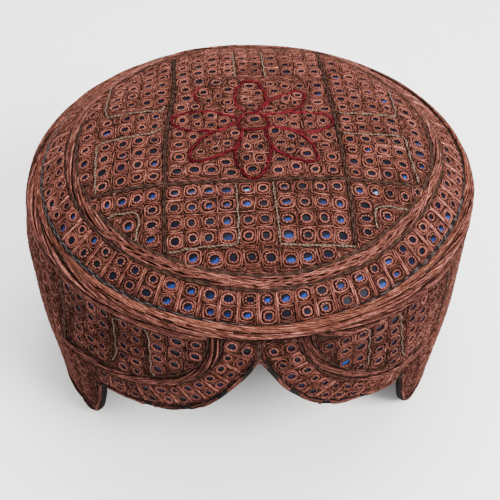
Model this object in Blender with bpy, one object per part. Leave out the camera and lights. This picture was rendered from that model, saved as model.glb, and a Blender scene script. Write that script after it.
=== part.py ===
"""Sindhi cap: a domed round cap of quilted, embroidered cloth with an arched front.

Units are metres. +Z is up, the arched opening faces -Y, and the hem rests on the plane z = 0.
The origin is the middle of the cap's box on that plane.

Places on the side wall are given by an azimuth in degrees, 0 at the front and growing towards +X,
and by a depth below the circle of the crown's edge cord.
"""
import math
from collections import namedtuple

import bmesh
import bpy
from mathutils import Vector

# Overall size
CROWN_RADIUS = 0.0940         # circle of the cord round the crown's edge
CROWN_HEIGHT = 0.0987         # that circle above the plane that the cap rests on
CROWN_X = 0.0016              # the left wall bulges further, so the crown stands right of the box's middle
CROWN_SIDES = 60              # flats round the crown, its cords and the wall's back

# Cloth and sewing
CLOTH = 0.0022                # quilted cloth with its embroidery
SEAT = 0.0003                 # gap between two pieces that touch

# Domed crown: rise * (1 - (radius / CROWN_RADIUS) ** DOME_POWER)
DOME_RISE = 0.0222
DOME_POWER = 4
DOME_RINGS = (0.020, 0.040, 0.054, 0.065, 0.073, 0.0783, 0.083, 0.0868, 0.0893, 0.0912)
LINING_RINGS = (0.0880, 0.0840, 0.0765, 0.0660, 0.0480, 0.0260)

# Cord over the seam between crown and wall, an ellipse that leans over the edge
EDGE_CORD_RADIUS = 0.0946
EDGE_CORD_DROP = 0.0003       # centre of the cord below the crown circle
EDGE_CORD_HALF_WIDTH = 0.0030
EDGE_CORD_HALF_THICK = 0.0016
EDGE_CORD_LEAN = math.radians(49)
EDGE_CORD_SIDES = 8
GROOVE_CLEARANCE = 0.0005     # room for the cord in the crown's groove
GROOVE_ANGLES = (30, 60, 90, 120)

# Seam edge of the crown, which stands on the wall's top edge
SEAM_DEPTH = 0.0033
SEAM_OUTER = 0.0943
SEAM_INNER = 0.0918
TURN_IN = ((0.0902, -0.0012), (0.0898, 0.0008))    # radius and height of the turned-in edge's inner skin

# Flat braided cord that rings the crown
RING_CORD_RADIUS = 0.0783
RING_CORD_HALF_WIDTH = 0.0026
RING_CORD_THICK = 0.0016

# Side wall: outer radius against depth, with a bulge on each side
WALL_TOP_RADIUS = 0.0959
WALL_FLARE = 0.0022           # widening over the full height, linear
WALL_TAPER = 0.0047           # drawing in over the full height, square
BULGE_LEFT = 0.0050
BULGE_RIGHT = 0.0008
BULGE_AZIMUTH = 95
BULGE_SPREAD = 45
BULGE_POWER = 0.8             # puts the widest part a little above mid height
FOOT_LEAN = 0.0021            # how far the hem sits to the left of the crown
WALL_TOP_DEPTH = SEAM_DEPTH + SEAT
WALL_ROWS = 5

# Binding folded round the wall's lower edge
BINDING_LEAF = 0.0010
BINDING_FOLD = 0.0008
BINDING_HEIGHT = 0.0030

# Lower edge across the front, from the left side tip's foot over the arch to the right one's
EdgeKnot = namedtuple("EdgeKnot", "azimuth depth stations")
FRONT_EDGE = (
    EdgeKnot(-58.5, CROWN_HEIGHT, 1),  # foot of the left side tip, on the resting plane
    EdgeKnot(-55.0, 0.0981, 1),
    EdgeKnot(-51.5, 0.0950, 2),
    EdgeKnot(-47.8, 0.0860, 2),
    EdgeKnot(-45.2, 0.0735, 1),
    EdgeKnot(-44.4, 0.0660, 1),
    EdgeKnot(-43.5, 0.0624, 1),     # left notch
    EdgeKnot(-41.7, 0.0612, 1),
    EdgeKnot(-36.4, 0.0592, 2),
    EdgeKnot(-30.4, 0.0578, 2),
    EdgeKnot(-24.8, 0.0563, 2),
    EdgeKnot(-20.0, 0.0533, 2),
    EdgeKnot(-15.5, 0.0490, 2),
    EdgeKnot(-11.0, 0.0424, 2),
    EdgeKnot(-7.0, 0.0338, 2),
    EdgeKnot(-3.8, 0.0261, 2),
    EdgeKnot(-1.8, 0.0195, 1),
    EdgeKnot(-0.9, 0.0160, 1),      # top of the arch
    EdgeKnot(0.1, 0.0185, 1),
    EdgeKnot(2.1, 0.0248, 2),
    EdgeKnot(5.0, 0.0340, 2),
    EdgeKnot(8.8, 0.0414, 2),
    EdgeKnot(13.0, 0.0475, 2),
    EdgeKnot(17.8, 0.0513, 2),
    EdgeKnot(23.0, 0.0537, 2),
    EdgeKnot(29.0, 0.0566, 2),
    EdgeKnot(34.0, 0.0592, 2),
    EdgeKnot(38.6, 0.0602, 1),
    EdgeKnot(40.4, 0.0614, 1),      # right notch
    EdgeKnot(41.3, 0.0650, 1),
    EdgeKnot(42.1, 0.0728, 2),
    EdgeKnot(44.6, 0.0850, 2),
    EdgeKnot(48.5, 0.0945, 1),
    EdgeKnot(52.0, 0.0980, 1),
    EdgeKnot(55.5, CROWN_HEIGHT, 0),  # foot of the right side tip
)
BACK_STEP = 360 / CROWN_SIDES

# Cord along each front lobe, from under the edge cord to the side panel
CordKnot = namedtuple("CordKnot", "azimuth depth")
ARCH_CORD_LEFT = (
    CordKnot(-10.6, 0.0036),
    CordKnot(-11.0, 0.0090),
    CordKnot(-11.9, 0.0150),
    CordKnot(-13.3, 0.0208),
    CordKnot(-16.4, 0.0270),
    CordKnot(-20.2, 0.0322),
    CordKnot(-25.2, 0.0370),
    CordKnot(-30.0, 0.0398),
    CordKnot(-35.5, 0.0419),
    CordKnot(-41.5, 0.0436),
    CordKnot(-48.0, 0.0452),
    CordKnot(-57.0, 0.0478),
)
ARCH_CORD_RIGHT = (
    CordKnot(9.3, 0.0036),
    CordKnot(9.9, 0.0085),
    CordKnot(10.9, 0.0135),
    CordKnot(12.4, 0.0188),
    CordKnot(15.3, 0.0260),
    CordKnot(19.2, 0.0324),
    CordKnot(23.4, 0.0373),
    CordKnot(28.4, 0.0419),
    CordKnot(33.6, 0.0460),
    CordKnot(39.0, 0.0489),
    CordKnot(46.0, 0.0509),
    CordKnot(55.0, 0.0533),
)
ARCH_CORD_HALF_WIDTH = 0.0018
ARCH_CORD_THICK = 0.0014
ARCH_CORD_STATIONS = 2        # stations per knot

# Band of cord strands round the wall's top, open at the front between the arch cords
TOP_CORD_START = 12.5
TOP_CORD_TOP = 0.0031
TOP_CORD_BOTTOM_LEFT = 0.0062
TOP_CORD_BOTTOM_RIGHT = 0.0088
TOP_CORD_START_BOTTOM = 0.0046
TOP_CORD_BLEND = 30.0         # degrees each side of the back over which it changes width
TOP_CORD_WIDENING = 6.0       # degrees over which the band reaches its full width
TOP_CORD_THICK = 0.0013
TOP_CORD_STATIONS = 56

# Colour, roughness and metallic value of each kind of cloth and thread
THREAD_LOOK = ((0.42, 0.17, 0.11, 1.0), 0.70, 0.0)
WALL_LOOK = ((0.30, 0.12, 0.08, 1.0), 0.75, 0.0)
CORD_LOOK = ((0.50, 0.21, 0.13, 1.0), 0.60, 0.0)
BINDING_LOOK = ((0.02, 0.018, 0.018, 1.0), 0.85, 0.0)


def clear_scene():
    """Remove every object that the file opened with."""
    for item in list(bpy.data.objects):
        bpy.data.objects.remove(item, do_unlink=True)


def make_material(name, look):
    """Principled material from a colour, a roughness and a metallic value."""
    colour, roughness, metallic = look
    material = bpy.data.materials.new(name)
    material.use_nodes = True
    shader = material.node_tree.nodes["Principled BSDF"]
    shader.inputs["Base Color"].default_value = colour
    shader.inputs["Roughness"].default_value = roughness
    shader.inputs["Metallic"].default_value = metallic
    return material


def add_object(name, mesh_data, material, sharp_degrees=40):
    """Turn a closed bmesh into a named object with smooth rounds and sharp edges."""
    bmesh.ops.recalc_face_normals(mesh_data, faces=mesh_data.faces)
    mesh = bpy.data.meshes.new(name)
    mesh_data.to_mesh(mesh)
    mesh_data.free()
    mesh.materials.append(material)
    mesh.shade_smooth()
    mesh.set_sharp_from_angle(angle=math.radians(sharp_degrees))
    item = bpy.data.objects.new(name, mesh)
    bpy.context.collection.objects.link(item)
    return item


def sweep(sections, closed):
    """Skin a row of equal closed sections; an open row gets flat caps."""
    skin = bmesh.new()
    rings = [[skin.verts.new(point) for point in section] for section in sections]
    count = len(rings[0])
    pairs = list(zip(rings, rings[1:]))
    if closed:
        pairs.append((rings[-1], rings[0]))
    for first, second in pairs:
        for k in range(count):
            after = (k + 1) % count
            skin.faces.new((first[k], first[after], second[after], second[k]))
    if not closed:
        skin.faces.new(rings[0])
        skin.faces.new(list(reversed(rings[-1])))
    return skin


def crown_point(radius, height, azimuth):
    """Point at a radius from the crown's axis and a height over the crown circle."""
    angle = math.radians(azimuth)
    return Vector((CROWN_X + radius * math.sin(angle), -radius * math.cos(angle), CROWN_HEIGHT + height))


def dome_height(radius):
    """Height of the crown's outer skin over the crown circle."""
    return DOME_RISE * (1 - (radius / CROWN_RADIUS) ** DOME_POWER)


def dome_slope(radius):
    """Fall of the crown's outer skin per unit of radius."""
    return DOME_RISE * DOME_POWER * radius ** (DOME_POWER - 1) / CROWN_RADIUS ** DOME_POWER


def above_dome(radius, lift):
    """Radius and height of a point that lies a distance off the crown's outer skin."""
    slope = dome_slope(radius)
    scale = lift / math.hypot(1, slope)
    return radius + slope * scale, dome_height(radius) + scale


def edge_cord_point(turn, clearance=0.0):
    """Radius and height on the edge cord's ellipse; turn 0 is its inner end and 90 its back."""
    along = (EDGE_CORD_HALF_WIDTH + clearance) * math.cos(math.radians(turn))
    behind = (EDGE_CORD_HALF_THICK + clearance) * math.sin(math.radians(turn))
    radius = EDGE_CORD_RADIUS - along * math.cos(EDGE_CORD_LEAN) - behind * math.sin(EDGE_CORD_LEAN)
    height = -EDGE_CORD_DROP + along * math.sin(EDGE_CORD_LEAN) - behind * math.cos(EDGE_CORD_LEAN)
    return radius, height


def build_crown_panel(material):
    """Domed cloth wall, grooved under the edge cord and turned in to the wall's top edge."""
    outer = [(radius, dome_height(radius)) for radius in DOME_RINGS]
    outer += [edge_cord_point(turn, GROOVE_CLEARANCE) for turn in GROOVE_ANGLES]
    seam = [(SEAM_OUTER, -SEAM_DEPTH), (SEAM_INNER, -SEAM_DEPTH)]
    inner = list(TURN_IN) + [above_dome(radius, -CLOTH) for radius in LINING_RINGS]
    profile = outer + seam + inner

    skin = bmesh.new()
    top = skin.verts.new(crown_point(0, DOME_RISE, 0))
    under = skin.verts.new(crown_point(0, DOME_RISE - CLOTH, 0))
    rings = []
    for side in range(CROWN_SIDES):
        azimuth = side * BACK_STEP
        rings.append([skin.verts.new(crown_point(radius, height, azimuth)) for radius, height in profile])
    for side, ring in enumerate(rings):
        other = rings[(side + 1) % CROWN_SIDES]
        skin.faces.new((top, ring[0], other[0]))
        skin.faces.new((under, other[-1], ring[-1]))
        for k in range(len(profile) - 1):
            skin.faces.new((ring[k], ring[k + 1], other[k + 1], other[k]))
    return add_object("crown_panel", skin, material)


def build_crown_edge_cord(material):
    """Thick cord round the crown's edge."""
    turns = [360 * (k + 0.5) / EDGE_CORD_SIDES for k in range(EDGE_CORD_SIDES)]
    sections = []
    for side in range(CROWN_SIDES):
        azimuth = side * BACK_STEP
        sections.append([crown_point(*edge_cord_point(turn), azimuth) for turn in turns])
    return add_object("crown_edge_cord", sweep(sections, closed=True), material, sharp_degrees=70)


def flat_cord_profile(half_width, thickness):
    """Rounded flat cord: offsets across it and lifts off what it lies on."""
    shoulder = 0.5 * thickness
    crest = 0.5 * half_width
    return (
        (-half_width, 0),
        (-half_width, shoulder),
        (-crest, thickness),
        (crest, thickness),
        (half_width, shoulder),
        (half_width, 0),
    )


def build_crown_ring_cord(material):
    """Flat braided cord that lies on the crown."""
    sections = []
    for side in range(CROWN_SIDES):
        azimuth = side * BACK_STEP
        section = []
        for across, lift in flat_cord_profile(RING_CORD_HALF_WIDTH, RING_CORD_THICK):
            radius, height = above_dome(RING_CORD_RADIUS + across, lift + SEAT)
            section.append(crown_point(radius, height, azimuth))
        sections.append(section)
    return add_object("crown_ring_cord", sweep(sections, closed=True), material, sharp_degrees=70)


def bulge(azimuth, centre):
    """How much of a side's bulge is felt at an azimuth."""
    turn = (azimuth - centre + 180) % 360 - 180
    return math.exp(-(turn / BULGE_SPREAD) ** 2)


def wall_radius(azimuth, depth):
    """Outer radius of the side wall."""
    level = min(max(depth / CROWN_HEIGHT, 0), 1)
    swell = BULGE_LEFT * bulge(azimuth, -BULGE_AZIMUTH) + BULGE_RIGHT * bulge(azimuth, BULGE_AZIMUTH)
    straight = WALL_TOP_RADIUS + WALL_FLARE * level - WALL_TAPER * level ** 2
    lean = FOOT_LEAN * math.sin(math.radians(azimuth)) * level ** 2
    return straight + swell * math.sin(math.pi * level ** BULGE_POWER) - lean


def wall_point(azimuth, depth, out=0.0):
    """Point on the side wall, or a distance out from its outer skin."""
    return crown_point(wall_radius(azimuth, depth) + out, -depth, azimuth)


def arc_degrees(distance):
    """Azimuth covered by a distance round the wall."""
    return math.degrees(distance / WALL_TOP_RADIUS)


def smooth_between(before, start, end, after, share):
    """Catmull-Rom curve through start and end."""
    return 0.5 * (
        2 * start
        + (end - before) * share
        + (2 * before - 5 * start + 4 * end - after) * share ** 2
        + (3 * start - before - 3 * end + after) * share ** 3
    )


def curve_through(knots, stations):
    """Azimuths and depths along a smooth curve through knots, with stations[k] steps after knot k."""
    path = []
    last = len(knots) - 1
    for k, steps in enumerate(stations[:last]):
        before = knots[max(k - 1, 0)]
        after = knots[min(k + 2, last)]
        for step in range(steps):
            share = step / steps
            azimuth = smooth_between(before[0], knots[k][0], knots[k + 1][0], after[0], share)
            depth = smooth_between(before[1], knots[k][1], knots[k + 1][1], after[1], share)
            path.append((azimuth, min(depth, CROWN_HEIGHT)))
    path.append((knots[last][0], knots[last][1]))
    return path


def lower_edge():
    """Azimuths and depths all round the cap's lower edge, from the left side tip over the front."""
    knots = [(knot.azimuth, knot.depth) for knot in FRONT_EDGE]
    edge = curve_through(knots, [knot.stations for knot in FRONT_EDGE])
    right_foot = knots[-1][0]
    back = 360 + knots[0][0] - right_foot
    steps = round(back / BACK_STEP)
    for step in range(1, steps):
        edge.append((right_foot + back * step / steps, CROWN_HEIGHT))
    return edge


def inward_direction(path, k, closed):
    """Unit direction in the wall, square to the path and up into the cloth: round and down."""
    count = len(path)
    before = path[k - 1] if closed or k > 0 else path[k]
    after = path[(k + 1) % count] if closed or k < count - 1 else path[k]
    turn = (after[0] - before[0] + 180) % 360 - 180
    run = math.radians(turn) * WALL_TOP_RADIUS
    fall = after[1] - before[1]
    length = math.hypot(run, fall)
    return fall / length, -run / length


def shifted(path, k, distance, closed=True):
    """Azimuth and depth of a path's station moved square to the path, up into the cloth."""
    round_part, down_part = inward_direction(path, k, closed)
    azimuth, depth = path[k]
    return azimuth + arc_degrees(round_part * distance), depth + down_part * distance


def build_side_band(edge, material):
    """Upright cloth wall with its arched front edge."""
    sections = []
    for k in range(len(edge)):
        column = [shifted(edge, k, BINDING_FOLD + SEAT), shifted(edge, k, BINDING_HEIGHT + SEAT)]
        azimuth, start = column[-1]
        for row in range(1, WALL_ROWS + 1):
            column.append((azimuth, start + (WALL_TOP_DEPTH - start) * row / WALL_ROWS))
        outer = [wall_point(azimuth, depth) for azimuth, depth in column]
        inner = [wall_point(azimuth, depth, -CLOTH) for azimuth, depth in reversed(column)]
        sections.append(outer + inner)
    return add_object("side_band", sweep(sections, closed=True), material)


def build_hem_binding(edge, material):
    """Binding folded round the lower edge, with a leaf on each side of the wall."""
    outside = SEAT + BINDING_LEAF
    inside = -CLOTH - SEAT - BINDING_LEAF
    profile = (
        (0, outside),
        (BINDING_HEIGHT, outside),
        (BINDING_HEIGHT, SEAT),
        (BINDING_FOLD, SEAT),
        (BINDING_FOLD, -CLOTH - SEAT),
        (BINDING_HEIGHT, -CLOTH - SEAT),
        (BINDING_HEIGHT, inside),
        (0, inside),
    )
    sections = []
    for k in range(len(edge)):
        sections.append([wall_point(*shifted(edge, k, rise), out) for rise, out in profile])
    return add_object("hem_binding", sweep(sections, closed=True), material)


def build_arch_cord(name, knots, material):
    """Cord along one front lobe."""
    path = curve_through(knots, [ARCH_CORD_STATIONS] * len(knots))
    sections = []
    for k in range(len(path)):
        section = []
        for across, lift in flat_cord_profile(ARCH_CORD_HALF_WIDTH, ARCH_CORD_THICK):
            azimuth, depth = shifted(path, k, across, closed=False)
            section.append(wall_point(azimuth, depth, lift + SEAT))
        sections.append(section)
    return add_object(name, sweep(sections, closed=False), material, sharp_degrees=70)


def build_wall_top_cord(material):
    """Flat band of cord round the top of the wall, narrower at its two front ends."""
    sections = []
    for station in range(TOP_CORD_STATIONS + 1):
        share = station / TOP_CORD_STATIONS
        azimuth = TOP_CORD_START + (360 - 2 * TOP_CORD_START) * share
        from_end = min(azimuth, 360 - azimuth) - TOP_CORD_START
        widening = min(from_end / TOP_CORD_WIDENING, 1)
        leftness = min(max(0.5 + 0.5 * (azimuth - 180) / TOP_CORD_BLEND, 0), 1)
        full = TOP_CORD_BOTTOM_RIGHT + (TOP_CORD_BOTTOM_LEFT - TOP_CORD_BOTTOM_RIGHT) * leftness
        bottom = TOP_CORD_START_BOTTOM + (full - TOP_CORD_START_BOTTOM) * widening
        middle = 0.5 * (TOP_CORD_TOP + bottom)
        half_width = 0.5 * (bottom - TOP_CORD_TOP)
        section = []
        for across, lift in flat_cord_profile(half_width, TOP_CORD_THICK):
            section.append(wall_point(azimuth, middle + across, lift + SEAT))
        sections.append(section)
    return add_object("wall_top_cord", sweep(sections, closed=False), material, sharp_degrees=70)


def main():
    clear_scene()
    thread = make_material("embroidered_cloth", THREAD_LOOK)
    wall = make_material("embroidered_wall_cloth", WALL_LOOK)
    cord = make_material("couched_cord", CORD_LOOK)
    binding = make_material("black_binding", BINDING_LOOK)
    edge = lower_edge()
    build_crown_panel(thread)
    build_crown_edge_cord(cord)
    build_crown_ring_cord(cord)
    build_side_band(edge, wall)
    build_hem_binding(edge, binding)
    build_wall_top_cord(cord)
    build_arch_cord("arch_cord_right", ARCH_CORD_RIGHT, cord)
    build_arch_cord("arch_cord_left", ARCH_CORD_LEFT, cord)


main()
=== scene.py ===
"""Looks of the sindhi cap: cloth, sewn-in mirrors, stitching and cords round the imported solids.

Lengths in the tables are millimetres. A place on the crown is a chart point, x to the right and y to
the back, measured along the cloth from the crown's middle. A place on the wall is an azimuth in
degrees, 0 at the front and growing to the right, with a depth below the crown's edge. The wall's
chart puts x at azimuth times DEGREE and y at minus the depth.
"""
import math
from collections import namedtuple

import bpy
import numpy as np
from mathutils import Matrix


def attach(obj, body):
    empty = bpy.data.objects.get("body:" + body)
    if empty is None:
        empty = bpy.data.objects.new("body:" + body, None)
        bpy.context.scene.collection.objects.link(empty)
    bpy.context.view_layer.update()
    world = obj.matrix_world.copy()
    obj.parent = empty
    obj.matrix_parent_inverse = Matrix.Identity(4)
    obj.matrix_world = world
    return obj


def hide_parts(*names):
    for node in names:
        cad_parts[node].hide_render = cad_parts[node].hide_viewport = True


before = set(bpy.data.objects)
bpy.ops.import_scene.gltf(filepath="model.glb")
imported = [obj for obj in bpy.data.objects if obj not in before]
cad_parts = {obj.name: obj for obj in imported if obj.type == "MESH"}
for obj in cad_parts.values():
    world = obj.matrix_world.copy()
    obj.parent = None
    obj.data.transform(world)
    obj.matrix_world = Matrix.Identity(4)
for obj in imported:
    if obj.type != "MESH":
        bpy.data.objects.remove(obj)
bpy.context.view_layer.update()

MM = 0.001
FULL_TURN = 2 * math.pi
RANDOM = np.random.default_rng(41)

# Shape of the crown and wall, as in the solids
CROWN_RADIUS = 94.0
CROWN_HEIGHT = 98.7
CROWN_X = 1.6
DOME_RISE = 22.2
WALL_TOP_RADIUS = 95.9
DEGREE = WALL_TOP_RADIUS * math.pi / 180
WALL_ROUND = 360 * DEGREE
AXIS = np.array([CROWN_X, 0.0, 0.0])

# The cloth's height over the solids' outer skin, and its thickness
CLOTH_LIFT = -0.45
CLOTH_THICK = 1.9
# The crown's turned-down edge: radius, height over the crown's circle, and length along the cloth
SEAM_ROWS = ((92.2, 0.8, 98), (93.3, -0.8, 100), (93.7, -3.1, 102), (91.8, -3.2, 104), (90.6, -1.2, 106))

# Camera: pitch and yaw of the line from the crown's circle to it, reach, and where it aims in the frame
CAMERA_PITCH = 0.6885
CAMERA_YAW = 0.0493
CAMERA_REACH = 399.3
FOCAL_PIXELS = 904.14
CENTRE_PIXEL = (250.52, 165.84)
FRAME_PIXELS = 500

# Lights in metres and watts
LIGHTS = (
    ("key", (0.75, -0.60, 0.85), 0.6, 40.0, (1.0, 0.98, 0.95)),
    ("fill", (-0.9, -0.4, 0.7), 0.9, 4.0, (0.97, 0.98, 1.0)),
    ("top", (0.15, 0.35, 1.1), 0.8, 18.0, (1.0, 0.99, 0.97)),
)
WORLD_STRENGTH = 1.5
FLOOR_REACH = 3.0

# Lower edge over the arched front, and middles of the arch cords, as azimuth and depth
FRONT_EDGE = (
    (-58.5, 98.7), (-55.0, 98.1), (-51.5, 95.0), (-47.8, 86.0), (-45.2, 73.5), (-44.4, 66.0),
    (-43.5, 62.4), (-41.7, 61.2), (-36.4, 59.2), (-30.4, 57.8), (-24.8, 56.3), (-20.0, 53.3),
    (-15.5, 49.0), (-11.0, 42.4), (-7.0, 33.8), (-3.8, 26.1), (-1.8, 19.5), (-0.9, 16.0), (0.1, 18.5),
    (2.1, 24.8), (5.0, 34.0), (8.8, 41.4), (13.0, 47.5), (17.8, 51.3), (23.0, 53.7), (29.0, 56.6),
    (34.0, 59.2), (38.6, 60.2), (40.4, 61.4), (41.3, 65.0), (42.1, 72.8), (44.6, 85.0), (48.5, 94.5),
    (52.0, 98.0), (55.5, 98.7),
)
ARCH_CORDS = {
    "left": (
        (-10.6, 3.6), (-11.0, 9.0), (-11.9, 15.0), (-13.3, 20.8), (-16.4, 27.0), (-20.2, 32.2),
        (-25.2, 37.0), (-30.0, 39.8), (-35.5, 41.9), (-41.5, 43.6), (-48.0, 45.2), (-57.0, 47.8),
    ),
    "right": (
        (9.3, 3.6), (9.9, 8.5), (10.9, 13.5), (12.4, 18.8), (15.3, 26.0), (19.2, 32.4), (23.4, 37.3),
        (28.4, 41.9), (33.6, 46.0), (39.0, 48.9), (46.0, 50.9), (55.0, 53.3),
    ),
}
# Distance between points along an arch cord, and half the width that its strands cover
ARCH_SPACING = 0.5
ARCH_CORD_HALF = 2.0
# Distance between points along the lower edge
EDGE_SPACING = 1.5
WALL_TOP_DEPTH = 0.8
# Cord on the wall's top: azimuth of its ends, depth of its top, depths of its bottom on the left, on the
# right and at its ends, and degrees over which these go over into each other
TOP_CORD = {
    "start": 12.5, "top": 3.1, "left": 6.2, "right": 8.8, "start_bottom": 4.6, "blend": 30.0,
    "widening": 6.0,
}
EDGE_CORD = {"radius": 94.6, "height": -0.3, "half_width": 3.0, "half_thickness": 1.6, "lean": 49.0}
# Where the edge's smooth bundle starts beyond the border's grey line, the gap between the
# bundle and the strands outside it, half the bundle's width, and the length from the crown's middle at
# which the strands outside it end
EDGE_BUNDLE_START = 0.6
EDGE_BUNDLE_GAP = 0.3
EDGE_BUNDLE_HALF = 1.7
EDGE_OUTER_LENGTH = 104.6
# Dark core under the edge cord's strands: how far it lies below the cord's middle, and its half sizes
EDGE_CORE = {"below": 0.35, "half_width": 2.4, "half_thickness": 1.2}
# Section of the folded hem: rise from the edge and distance out from the wall's skin
HEM_SECTION = (
    (0.5, 0.35), (1.2, 0.5), (2.0, 0.3), (2.2, -0.3), (3.1, -2.5), (3.0, -2.9), (1.7, -3.1), (0.55, -2.9),
    (0.0, -2.2), (0.0, -0.2),
)
# Azimuths where the hem's black cloth shows between its strands
HEM_PATCHES = (
    -52.0, -43.0, -29.0, -18.6, -9.4, -3.4, 2.2, 7.8, 15.8, 26.2, 39.4, 48.0, 75.0, 110.0, 160.0, 205.0,
    250.0, 280.0,
)
HEM_PATCH_HALF = 1.2
# The hem's strands: distance of their middle from the edge, and half their spread
HEM_STRANDS_INSET = 1.35
HEM_STRANDS_HALF = 0.85

# Mirrors of the crown's middle square
CENTRE_CELLS = (
    (-28.4, 34.8), (-21.4, 33.6), (-13.8, 31.8), (-6.6, 31.1), (-27.8, 28.2), (-19.8, 24.8), (-8.9, 25.9),
    (0.7, 28.6), (-1.1, 23.7), (-27.3, 21.5), (-13.3, 21.6), (-17.7, 18.6), (-1.5, 18.6), (-9.3, 16.6),
    (-29.6, 14.5), (-23.3, 15), (-8.3, 10.9), (1, 13.5), (-23.1, 8), (-16.9, 7.8), (-28.9, 5.4),
    (-11.3, 3.5), (-22.4, 2.1), (-16.8, 1), (4.2, 23.2), (3.6, 17.7), (10, 30.2), (16.6, 28.8),
    (23.4, 29.4), (31.4, 29.4), (11.5, 24.6), (21.7, 21.3), (16.3, 18.8), (19.9, 15.4), (11.8, 15.4),
    (29.9, 15.8), (30.7, 23), (8.6, 11.2), (14.6, 12), (25.7, 11.1), (32.3, 10.4), (19, 4.7), (25.2, 5.3),
    (12.6, 2.8), (30.7, 1.8), (1.7, 3.2), (18.3, -0.3), (25, -0.4), (-30.4, -4), (-24.2, -6.5),
    (-30.2, -11.6), (-30.2, -19.8), (-30.9, -28.1), (-24, -27.7), (-16.9, -27.8), (-11.1, -23.7),
    (-9.1, -29.9), (-17.9, -10.8), (-13.6, -7.5), (-21.5, -16.7), (-15.2, -15.4), (-10.2, -12.3),
    (-6.9, -5.5), (1.2, -8.6), (-2.2, -14.8), (-3, -21.9), (-0.7, -28.5), (3.3, -15.1), (2.8, -22.1),
    (10.1, -5.7), (16.5, -8.9), (11.8, -12.7), (20.5, -14.1), (15, -17.4), (22, -19.9), (26.3, -9.3),
    (32.3, -7.3), (30, -14.4), (32, -21.7), (11.1, -23.3), (9.6, -29.9), (17, -27.7), (24.5, -29.6),
    (31.6, -30.2),
)
# The crown's other blocks: places of their columns and rows, and how far a row climbs to the right
Block = namedtuple("Block", "columns rows climb")
CROWN_BLOCKS = (
    Block((-31.9, -25.2, -18.6, -11.6, -3.8, 2.8, 11.3, 18.6, 25.7, 32.4), (-39.5, -47.8, -55.6, -62.9), 0.0),
    Block((-61.5, -53.7, -46.8, -40.4), (-7.4, -15.0, -22.4, -29.8), 0.0),
    Block((-61.5, -53.2, -46.2, -40.4), (9.2, 2.3), 0.0),
    Block((-58.3, -51.4, -44.6, -38.2), (20.2, 27.2, 34.6, 41.9, 49.0, 56.2), 0.0),
    Block((41.0, 47.6, 54.6, 61.6), (-10.0, -16.6, -23.8, -30.6), 0.03),
    Block((41.0, 47.4, 54.0, 60.9), (3.6, -2.2), 0.04),
    Block((40.4, 47.0, 53.8, 60.6), (12.0, 18.4, 24.9, 31.4, 38.2, 45.0, 51.8, 58.4), 0.11),
    Block((-29.0, -22.0, -15.2, -8.6, -1.8, 4.2, 11.6, 18.2, 24.9, 31.3),
          (41.4, 48.0, 54.8, 61.6, 68.6), 0.0),
    Block((-59.5, -53.2, -46.8, -40.7), (-40.3,), 0.0),
    Block((41.0, 47.3, 54.0, 60.6), (-40.4,), 0.0),
)
# Mirrors between the crown's blocks and the ring cord
CROWN_EDGE_CELLS = (
    (-25.2, -70.8), (-17.1, -72.2), (-10.0, -72.0), (-3.0, -71.9), (4.2, -72.3), (11.6, -73.0),
    (18.4, -72.0), (26.2, -70.7), (-69.0, 27.4), (-69.2, 19.6), (-70.2, 11.3), (-70.6, 3.3),
    (-70.8, -5.0), (-70.8, -13.3), (-70.2, -21.6), (71.3, 7.5), (71.6, 0.4), (71.4, -6.8), (71.2, -14.1),
    (70.6, -21.6), (69.8, 15.0), (68.4, 24.0), (-40.7, -47.3), (-40.8, -54.0), (-41.4, -60.2),
    (-50.6, -52.2), (42.5, -48.0), (42.6, -54.0), (42.8, -60.0), (51.8, -51.4), (-65.6, 35.6),
    (-65.2, -39.6), (66.6, -37.2), (66.8, 33.0),
)
# Azimuths of the mirror pairs in the crown's border, over the front half
BORDER_AZIMUTHS = (
    -92.4, -87.3, -82.2, -76.8, -71.8, -66.8, -61.4, -56.0, -50.4, -44.9, -39.2, -34.0, -28.7, -23.3, -17.8,
    -12.6, -8.2, -3.2, 1.2, 5.8, 10.5, 15.3, 20.4, 25.7, 31.0, 35.9, 41.8, 46.3, 52.0, 56.8, 62.2, 67.2,
    72.6, 77.9, 83.6, 89.2,
)
BORDER_BACK_PAIRS = 33
# Lengths from the crown's middle to the border's lines and rows, and how far they shift, by azimuth
INNER_LINE = 78.2
RING_CORD = 80.9
RING_CORD_HALF = 2.0
# The ring cord's crossing strands: angle where they start, and angle that they cover, in radians
CROSSING_START = -0.9
CROSSING_TURN = 2.1
OUTER_LINE = 83.4
BORDER_ROWS = (87.1, 93.1)
RADIAL_LINES = (84.6, 96.2)
GLINT_LINE = 97.0
BORDER_SHIFT = (
    (-140, -1.6), (-120, -2.4), (-100, -2.8), (-80, -2.6), (-60, -1.9), (-40, -1.1), (-20, -0.1), (0, 1.4),
    (10, 1.3), (20, 1.0), (30, 0.4), (40, -0.5), (55, -1.1), (70, -0.5), (80, 0.4), (90, 1.2), (100, 1.5),
    (140, 0.8), (180, 0.0),
)

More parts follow.
